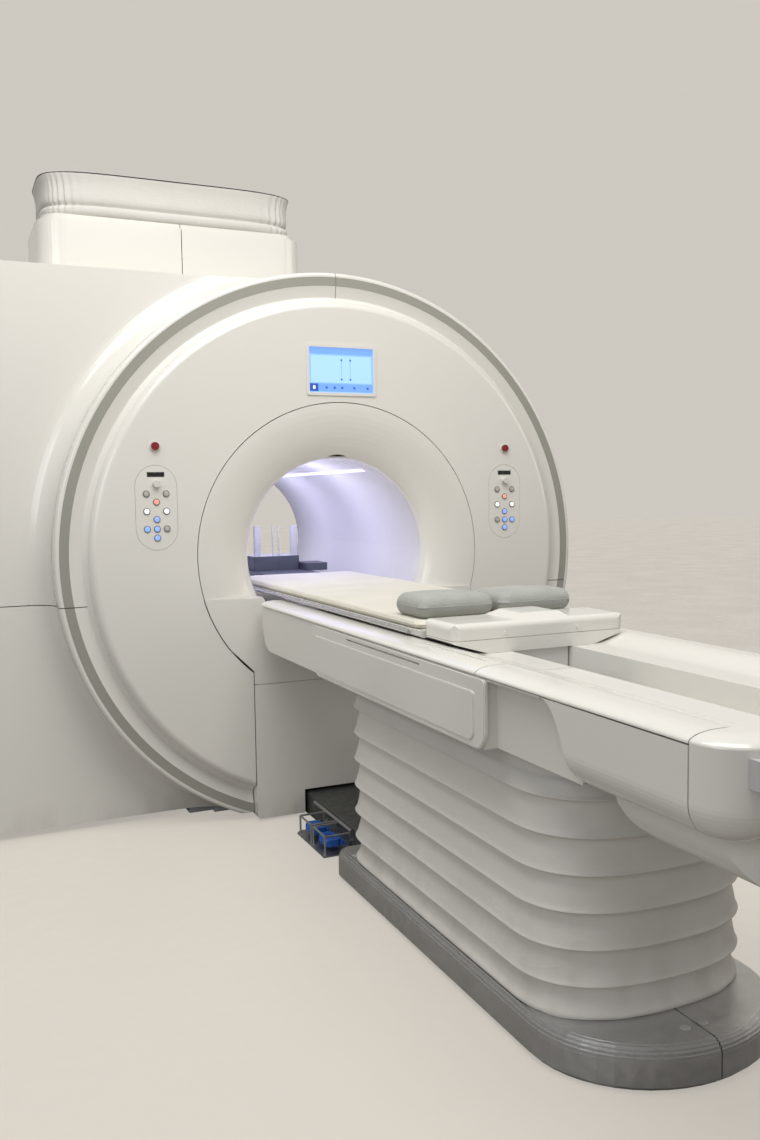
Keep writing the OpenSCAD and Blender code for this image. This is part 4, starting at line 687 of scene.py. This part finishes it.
class SCANNER_OT_bellows(bpy.types.Operator):
    """Shape the bellows with its drooping lips and wrinkles"""

    bl_idname = "scanner.bellows"
    bl_label = "Bellows"

    around = 288
    ridges = 6
    first = 0.162
    pitch = 0.0794
    lip = [(-0.12, 1.0), (-0.075, 0.94), (-0.045, 0.72), (-0.028, 0.40), (-0.016, 0.14), (0.0, 0.02),
           (0.018, 0.0), (0.04, 0.05), (0.07, 0.14), (0.12, 0.24), (0.20, 0.35), (0.32, 0.49), (0.48, 0.66),
           (0.64, 0.81), (0.78, 0.94)]

    def outline(self, angle, inset, half, centre, length):
        """Point of the bellows' plan at an angle, set in from its outer edge."""
        c, s = math.cos(angle), math.sin(angle)
        power = BELLOWS_FOOT_POWER if s < 0 else BELLOWS_GANTRY_POWER
        end = BELLOWS_END - inset
        straight = length / 2 - BELLOWS_END
        return (math.copysign((half - inset) * abs(c) ** power, c),
                centre + math.copysign(straight + end * abs(s) ** power, s))

    def execute(self, context):
        scene = context.scene
        sizes = scene.scanner_sizes
        low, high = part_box("bellows")
        half, length = (high.x - low.x) / 2, high.y - low.y
        centre = (low.y + high.y) / 2
        rings = [(low.z, 0.30), (low.z + 0.004, 0.10), (low.z + 0.010, 0.10), (low.z + 0.013, 0.30),
                 (low.z + 0.030, 0.75)]
        for k in range(self.ridges):
            rings += [(self.first + (k + up) * self.pitch, inset) for up, inset in self.lip
                      if not (k == self.ridges - 1 and up > 0.5)]
        rings += [(high.z - drop, inset) for drop, inset in ((0.045, 0.86), (0.03, 0.84), (0.012, 0.84),
                                                             (0.001, 0.84))]
        points = []
        for z, inset in rings:
            for i in range(self.around):
                a = 2 * math.pi * i / self.around
                x, y = self.outline(a, inset * sizes.fold_depth, half, centre, length)
                soft = min(max((inset - 0.05) / 0.4, 0.0), 1.0)
                low_down = 0.6 + 0.8 * max(0.0, 1 - (z - low.z) / 0.35)
                corner = 0.5 + 0.9 * abs(math.sin(2 * a)) ** 3
                broad = noise.noise(Vector((x * 9, y * 9, z * 15)))
                fine = noise.noise(Vector((x * 23, y * 23, z * 38)))
                waves = broad + 0.5 * fine
                push = sizes.wrinkle_depth * waves * soft * low_down * corner
                hold = 1 - abs(2 * (z - low.z) / (high.z - low.z) - 1) ** 6
                droop = 0.0022 * noise.noise(Vector((x * 4, y * 4, z * 2 + 7))) * hold
                out = Vector((x, y - centre, 0)).normalized()
                limit = Vector((x, y, 0)) + out * min(push, inset * sizes.fold_depth)
                points.append((limit.x, limit.y, z + droop))
        shown = piece("bellows_cloth", points, tube_faces(len(rings), self.around, False),
                      vinyl_finish(scene.scanner_finishes), None)
        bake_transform(shown)
        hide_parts("bellows")
        return {"FINISHED"}


class SCANNER_OT_shroud(bpy.types.Operator):
    """Shape the gathered cloth between the turret and the ceiling"""

    bl_idname = "scanner.shroud"
    bl_label = "Ceiling shroud"

    around = 420

    def execute(self, context):
        fold = context.scene.scanner_sizes.shroud_fold
        low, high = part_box("ceiling_shroud")
        mid = (low + high) / 2
        half = (high - low) / 2
        tall = high.z - low.z
        levels = [(0.0, 0.020, 0.0), (0.04, 0.010, 0.3), (0.10, 0.004, 0.6), (0.17, 0.002, 0.8),
                  (0.225, 0.005, 0.9), (0.25, 0.014, 1.0), (0.27, 0.016, 1.0), (0.30, 0.010, 1.0),
                  (0.36, 0.006, 1.0), (0.45, 0.006, 1.0), (0.55, 0.007, 1.0), (0.66, 0.007, 0.9),
                  (0.76, 0.006, 0.7), (0.86, 0.004, 0.45), (0.94, 0.001, 0.2), (0.985, 0.0005, 0.0),
                  (1.0, 0.003, 0.0)]
        points = []
        for share, inset, loose in levels:
            z = low.z + share * tall
            for i in range(self.around):
                a = 2 * math.pi * i / self.around
                c, s = math.cos(a), math.sin(a)
                x = (half.x - 0.004 - inset) * math.copysign(abs(c) ** 0.42, c)
                y = (half.y - 0.004 - inset) * math.copysign(abs(s) ** 0.42, s)
                corner = abs(math.sin(2 * a)) ** 4
                waves = noise.noise(Vector((x * 3.2, y * 3.2, z * 7))) * 0.7
                pleat = math.sin(a * 46 + 9 * z + 5 * noise.noise(Vector((x * 4, y * 4, 1)))) * corner
                push = -fold * loose * (0.45 + 0.5 * waves + 0.45 * pleat * corner)
                out = Vector((x, y, 0)).normalized()
                spot = Vector((mid.x + x, mid.y + y, z)) + out * min(push, 0.002)
                points.append(spot)
        shown = piece("shroud_drape", points, tube_faces(len(levels), self.around, False), shroud_finish(),
                      "scanner")
        thick = shown.modifiers.new("Cloth thickness", "SOLIDIFY")
        thick.thickness = 0.0012
        thick.offset = -1.0
        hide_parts("ceiling_shroud")
        hoop_path = [Vector(points[(len(levels) - 1) * self.around + i]) for i in range(0, self.around, 2)]
        hoop_path = [p - Vector((0, 0, 0.004)) for p in hoop_path]
        dark = paint_finish("Hoop rubber", (0.03, 0.03, 0.03), (0.045, 0.045, 0.045), 0.6)
        hoop_points, hoop_faces = piping(hoop_path, 0.0032)
        piece("shroud_hoop", hoop_points, hoop_faces, dark, "scanner")
        return {"FINISHED"}


class SCANNER_OT_mattress(bpy.types.Operator):
    """Shape the mattress and its sewn edge"""

    bl_idname = "scanner.mattress"
    bl_label = "Mattress"

    def execute(self, context):
        scene = context.scene
        low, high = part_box("couch_pad")
        crown = scene.scanner_sizes.mattress_crown
        cloth = mattress_finish(scene.scanner_finishes)
        points, faces = soft_box(low, high, 0.03, 0.010, crown, 0.0012, (40, 110))
        shown = piece("mattress", points, faces, cloth, "couch")
        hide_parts("couch_pad")
        path = round_path((low.x + 0.0005, low.y + 0.0005), (high.x - 0.0005, high.y - 0.0005), 0.0295,
                          (low.z + high.z) / 2)
        points, faces = piping(path, 0.0018)
        piece("mattress_piping", points, faces, cloth, "couch")
        return {"FINISHED"}


class SCANNER_OT_bolster(bpy.types.Operator):
    """Shape the foam bolster at the foot end of the mattress"""

    bl_idname = "scanner.bolster"
    bl_label = "Bolster"

    def execute(self, context):
        scene = context.scene
        low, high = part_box("bolster")
        cloth = foam_finish(scene.scanner_finishes)
        halves = [("bolster_left", low.x, -0.012), ("bolster_right", 0.006, high.x)]
        for number, (name, x0, x1) in enumerate(halves):
            points, faces = soft_box((x0, low.y, low.z), (x1, high.y, high.z - 0.004), 0.03, 0.026, 0.006,
                                     0.002, (36, 30), seed=number * 11.0)
            shown = piece(name, points, faces, cloth, "couch")
            path = round_path((x0 + 0.001, low.y + 0.001), (x1 - 0.001, high.y - 0.001), 0.03,
                              (low.z + high.z) / 2)
            cord_points, cord_faces = piping(path, 0.0017)
            piece(name + "_piping", cord_points, cord_faces, cloth, "couch")
        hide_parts("bolster")
        return {"FINISHED"}


class SCANNER_OT_controls(bpy.types.Operator):
    """Finish the control panels and cap their keys"""

    bl_idname = "scanner.controls"
    bl_label = "Controls"

    def execute(self, context):
        scene = context.scene
        height = scene.scanner_sizes.key_height
        give(cover_finish(scene.scanner_finishes, "Panel gloss", 0.18), "control_panel_left",
             "control_panel_right")
        give(paint_finish("Keypad rubber", (0.30, 0.30, 0.29), (0.24, 0.24, 0.235), 0.5), "keypad_left",
             "keypad_right")
        give(paint_finish("Stop button red", (0.23, 0.012, 0.018), (0.17, 0.01, 0.015), 0.22),
             "stop_button_left", "stop_button_right")
        give(paint_finish("Knob white", (0.72, 0.71, 0.67), (0.62, 0.61, 0.57), 0.25), "selector_knob_left",
             "selector_knob_right")
        looks = {
            "grey": paint_finish("Key grey", (0.50, 0.485, 0.45), (0.45, 0.435, 0.40), 0.4, scratch=0.05),
            "start": glow_finish("Key orange", (0.80, 0.33, 0.24), 0.55),
            "white": glow_finish("Key white", (0.86, 0.87, 0.92), 0.75),
            "blue": glow_finish("Key blue", (0.20, 0.34, 0.95), 0.85),
        }
        # Painted shade: the dark colour of the groove ring round each key stands for the shade round the
        # raised keys.
        rim = paint_finish("Key rim", (0.24, 0.235, 0.22), (0.19, 0.185, 0.175), 0.35, scratch=0.05)
        dark = paint_finish("Readout glass", (0.006, 0.006, 0.007), (0.012, 0.012, 0.014), 0.1)
        for side, name in ((-1, "left"), (1, "right")):
            low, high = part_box("keypad_" + name)
            middle = Vector(((low.x + high.x) / 2, low.y, KEYPAD_Z))
            places = [
                (-1, "upper", "grey"), (1, "upper", "grey"), (0, "middle", "start"), (-1, "lit", "white"),
                (1, "lit", "white"), (0, "cross_top", "blue"), (0, "cross", "blue"), (-side, "cross", "grey"),
                (side, "cross", "blue"), (0, "cross_low", "blue"),
            ]
            for number, (step, row, look) in enumerate(places):
                spot = middle + Vector((step * KEY_STEP, 0.0002, KEY_ROWS[row]))
                cap = [(0.0, -height), (0.0058, -height * 0.96), (0.0080, -height * 0.8),
                       (0.0086, -height * 0.4), (0.0088, 0.0), (0.0, 0.0)]
                points, faces = lathe(cap, spot, 28)
                piece(f"key_cap_{name}_{number}", points, faces, looks[look], "scanner")
                ring = [(0.0088, 0.0), (0.0090, -height * 0.5), (0.0100, -height * 0.7),
                        (0.0111, -height * 0.4), (0.0114, 0.0)]
                points, faces = lathe(ring, spot, 28)
                piece(f"key_rim_{name}_{number}", points, [f for f in faces if len(f) == 4], rim, "scanner")
            y = low.y + 0.0025
            window = [(-0.029, -0.0075), (0.029, -0.0075), (0.029, 0.0075), (-0.029, 0.0075)]
            points = [(middle.x + dx, y + dy, KEYPAD_Z + READOUT_RISE + dz)
                      for dy in (-0.0002, 0.0012) for dx, dz in window]
            piece("readout_" + name, points, tube_faces(2, 4), dark, "scanner", smooth=False)
        return {"FINISHED"}


class SCANNER_OT_display(bpy.types.Operator):
    """Light the display and draw a plain, wordless page on it"""

    bl_idname = "scanner.display"
    bl_label = "Display"

    def execute(self, context):
        give(cover_finish(context.scene.scanner_finishes, "Bezel gloss", 0.15), "display_bezel")
        low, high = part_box("display_screen")
        give(glow_finish("Display blue", (0.22, 0.42, 0.95), 0.62), "display_screen")
        pale = glow_finish("Display pale", (0.32, 0.54, 0.98), 0.62)
        band = glow_finish("Display band", (0.15, 0.31, 0.90), 0.62)
        deep = glow_finish("Display deep", (0.03, 0.09, 0.42), 0.35)
        white = glow_finish("Display white", (0.72, 0.82, 1.0), 0.62)
        middle = (low.z + high.z) / 2

        def plate(name, x0, x1, z0, z1, look, lift):
            """A thin coloured field on the screen."""
            corners = [(x0, z0), (x1, z0), (x1, z1), (x0, z1)]
            points = [(cx, SCREEN_Y - lift - dy, middle + cz) for dy in (0.0, 0.0004) for cx, cz in corners]
            piece("display_" + name, points, tube_faces(2, 4), look, "scanner", smooth=False)

        plate("page", -0.120, 0.120, -0.046, 0.052, pale, 0.0)
        plate("title", -0.125, 0.125, 0.058, 0.078, band, 0.0)
        plate("foot", -0.125, 0.125, -0.078, -0.050, band, 0.0)
        plate("home", -0.125, -0.092, -0.078, -0.050, deep, 0.0005)
        plate("home_mark", -0.113, -0.104, -0.070, -0.058, white, 0.0010)
        plate("column_left", 0.000, 0.0015, -0.040, 0.045, band, 0.0005)
        plate("column_right", 0.034, 0.0355, -0.040, 0.045, band, 0.0005)
        for i, x in enumerate((-0.060, -0.028, 0.002, 0.050, 0.104)):
            plate(f"mark_{i}", x - 0.004, x + 0.004, -0.068, -0.060, deep, 0.0005)
        for i, (x, z) in enumerate(((0.0, 0.036), (0.035, 0.036), (0.0, -0.034), (0.035, -0.034))):
            plate(f"dot_{i}", x - 0.003, x + 0.003, z - 0.002, z + 0.004, deep, 0.0010)
        return {"FINISHED"}


class SCANNER_OT_fittings(bpy.types.Operator):
    """Cap the base's screws and light the bore"""

    bl_idname = "scanner.fittings"
    bl_label = "Small fittings"

    def execute(self, context):
        scene = context.scene
        cap_grey = paint_finish("Screw cap grey", (0.42, 0.42, 0.41), (0.36, 0.36, 0.35), 0.4)
        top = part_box("base_cover_left")[1].z
        for number, (x, y) in enumerate(((-0.032, -2.700), (0.014, -2.699), (-0.262, -1.50), (0.262, -1.50))):
            profile = [(0.0, 0.0022), (0.006, 0.0021), (0.0105, 0.0014), (0.012, 0.0), (0.0, 0.0)]
            points, faces = lathe(profile, (0, 0, 0), 28)
            points = [(x + p[0], y + p[2], top + p[1]) for p in points]
            piece(f"base_cap_{number}", points, faces, cap_grey, "scanner")
        glow = Finish("Bore light strip", scene.scanner_finishes.bore_light, 0.4,
                      Emission_Strength=scene.scanner_studio.bore_strength)
        glow.set(Emission_Color=(*scene.scanner_finishes.bore_light, 1.0))
        lit = glow.done()
        radius = 0.3545
        for number, middle in enumerate((118.0, 62.0)):
            points = []
            for y in (-0.60, -0.3, 0.0, 0.3, 0.60):
                for r in (radius - 0.0015, radius):
                    for a in (middle - 1.6, middle + 1.6) if r < radius else (middle + 1.6, middle - 1.6):
                        t = math.radians(a)
                        points.append((r * math.cos(t), y, BORE_Z + r * math.sin(t)))
            piece(f"bore_light_{number}", points, tube_faces(5, 4), lit, "scanner",
                  smooth=False)
        return {"FINISHED"}


class SCANNER_OT_stage(bpy.types.Operator):
    """Set the floor, lamps, ambient light and camera"""

    bl_idname = "scanner.stage"
    bl_label = "Studio"

    def bore_lamp(self, name, place, power):
        """A round lamp on the bore's axis that the camera doesn't see."""
        data = bpy.data.lights.new(name, "POINT")
        data.shadow_soft_size = 0.12
        data.energy = power
        data.color = (0.74, 0.74, 1.0)
        shown = bpy.data.objects.new(name, data)
        shown.location = place
        shown.visible_camera = False
        shown.visible_glossy = False
        bpy.context.scene.collection.objects.link(shown)

    def lamp(self, name, place, target, size, power, colour):
        """A rectangular lamp that faces a target."""
        data = bpy.data.lights.new(name, "AREA")
        data.shape = "RECTANGLE"
        data.size, data.size_y = size
        data.energy = power
        data.color = colour
        shown = bpy.data.objects.new(name, data)
        shown.location = place
        shown.rotation_euler = (Vector(target) - Vector(place)).to_track_quat("-Z", "Y").to_euler()
        bpy.context.scene.collection.objects.link(shown)

    def execute(self, context):
        scene = context.scene
        studio = scene.scanner_studio
        scene.view_settings.view_transform = "Standard"

        world = bpy.data.worlds.new("Studio")
        scene.world = world
        world.use_nodes = True
        tree = world.node_tree
        tree.nodes.clear()
        path = wire(tree, "ShaderNodeLightPath")
        seen = maths(tree, "MAXIMUM", path.outputs["Is Camera Ray"], path.outputs["Is Glossy Ray"])
        seen = maths(tree, "MAXIMUM", seen, path.outputs["Is Transmission Ray"])
        ambient = wire(tree, "ShaderNodeBackground", {"Color": (0.97, 0.98, 1.0, 1.0),
                                                      "Strength": studio.world_strength})
        shown = wire(tree, "ShaderNodeBackground", {"Color": (*studio.backdrop, 1.0), "Strength": 1.0})
        mix = wire(tree, "ShaderNodeMixShader", {0: seen, 1: ambient.outputs[0],
                                                 2: shown.outputs[0]})
        out = wire(tree, "ShaderNodeOutputWorld")
        tree.links.new(mix.outputs[0], out.inputs[0])

        floor_look = Finish("Studio floor", (0.27, 0.252, 0.225), 0.55, Emission_Strength=1.0)
        floor_look.set(Emission_Color=(0.42, 0.394, 0.355, 1.0))
        path = wire(floor_look.tree, "ShaderNodeLightPath")
        floor_look.tree.links.new(path.outputs["Is Camera Ray"],
                                  floor_look.shader.inputs["Emission Strength"])
        floor_look.drift((0.258, 0.241, 0.215), 0.8, 0.6)
        floor_look.smudge(2.0, 0.42, 0.2)
        floor_look.bump(floor_look.mask("Moulded grain", Size=160.0), 0.1, 0.001)
        corners = [(x * FLOOR_HALF, y * FLOOR_HALF, 0) for x, y in ((-1, -1), (1, -1), (1, 1), (-1, 1))]
        floor = piece("studio_floor", corners, [(0, 1, 2, 3)], floor_look.done(), None, smooth=False)

        self.lamp("ceiling_lamp", (-0.7, -2.6, 3.9), (0.0, -1.2, 0.4), (3.4, 2.6), studio.key_power,
                  (1.0, 0.985, 0.955))
        self.lamp("front_lamp", (-4.6, -4.6, 2.6), (-0.2, -1.2, 0.9), (2.4, 2.2), studio.fill_power * 1.6,
                  (0.93, 0.96, 1.0))
        self.lamp("right_lamp", (4.4, -2.6, 2.4), (0.1, -1.4, 0.9), (2.0, 2.4), studio.fill_power,
                  (1.0, 0.93, 0.84))

        for name, y in (("bore_lamp_front", -0.25), ("bore_lamp_back", 0.35)):
            self.bore_lamp(name, (0.0, y, 1.16), studio.bore_power)

        yaw, pitch, roll = CAMERA_YAW, CAMERA_PITCH, CAMERA_ROLL
        forward = Vector((math.sin(yaw) * math.cos(pitch), math.cos(yaw) * math.cos(pitch), -math.sin(pitch)))
        right = Vector((math.cos(yaw), -math.sin(yaw), 0.0))
        up = Vector((math.sin(yaw) * math.sin(pitch), math.cos(yaw) * math.sin(pitch), math.cos(pitch)))
        side = right * math.cos(roll) - up * math.sin(roll)
        top = right * math.sin(roll) + up * math.cos(roll)
        data = bpy.data.cameras.new("photo_camera")
        data.lens = FOCAL_PIXELS / PICTURE_PIXELS * SENSOR_MM
        data.sensor_width = SENSOR_MM
        camera = bpy.data.objects.new("photo_camera", data)
        turn = Matrix((side, top, -forward)).transposed().to_4x4()
        camera.matrix_world = Matrix.Translation(CAMERA_AT) @ turn
        scene.collection.objects.link(camera)
        scene.camera = camera
        return {"FINISHED"}


OPERATORS = [SCANNER_OT_stage, SCANNER_OT_covers, SCANNER_OT_magnet, SCANNER_OT_table, SCANNER_OT_bellows,
             SCANNER_OT_shroud, SCANNER_OT_mattress, SCANNER_OT_bolster, SCANNER_OT_controls,
             SCANNER_OT_display, SCANNER_OT_fittings]


class SCANNER_PT_sidebar(bpy.types.Panel):
    """Lists the scanner's settings and steps"""

    bl_idname = "SCANNER_PT_sidebar"
    bl_label = "MRI scanner"
    bl_space_type = "VIEW_3D"
    bl_region_type = "UI"
    bl_category = "Scanner"

    def draw(self, context):
        scene = context.scene
        for settings in (scene.scanner_finishes, scene.scanner_sizes, scene.scanner_studio):
            column = self.layout.column(align=True)
            for name in settings.bl_rna.properties.keys():
                if name not in ("rna_type", "name"):
                    column.prop(settings, name)
        for operator in OPERATORS:
            self.layout.operator(operator.bl_idname)


CLASSES = [ScannerFinishes, ScannerSizes, ScannerStudio, *OPERATORS, SCANNER_PT_sidebar]


def register():
    for part in CLASSES:
        bpy.utils.register_class(part)
    bpy.types.Scene.scanner_finishes = PointerProperty(type=ScannerFinishes)
    bpy.types.Scene.scanner_sizes = PointerProperty(type=ScannerSizes)
    bpy.types.Scene.scanner_studio = PointerProperty(type=ScannerStudio)


def unregister():
    del bpy.types.Scene.scanner_studio
    del bpy.types.Scene.scanner_sizes
    del bpy.types.Scene.scanner_finishes
    for part in reversed(CLASSES):
        bpy.utils.unregister_class(part)


def main():
    register()
    GROUPS.update({tree.name: tree for tree in (smudges_group(), drift_group(), grime_and_contact_shade_group(),
                                                scratches_group(), weave_group(), creases_group(),
                                                grain_group())})
    for operator in OPERATORS:
        section, step = operator.bl_idname.split(".")
        getattr(getattr(bpy.ops, section), step)()


if __name__ == "__main__":
    main()
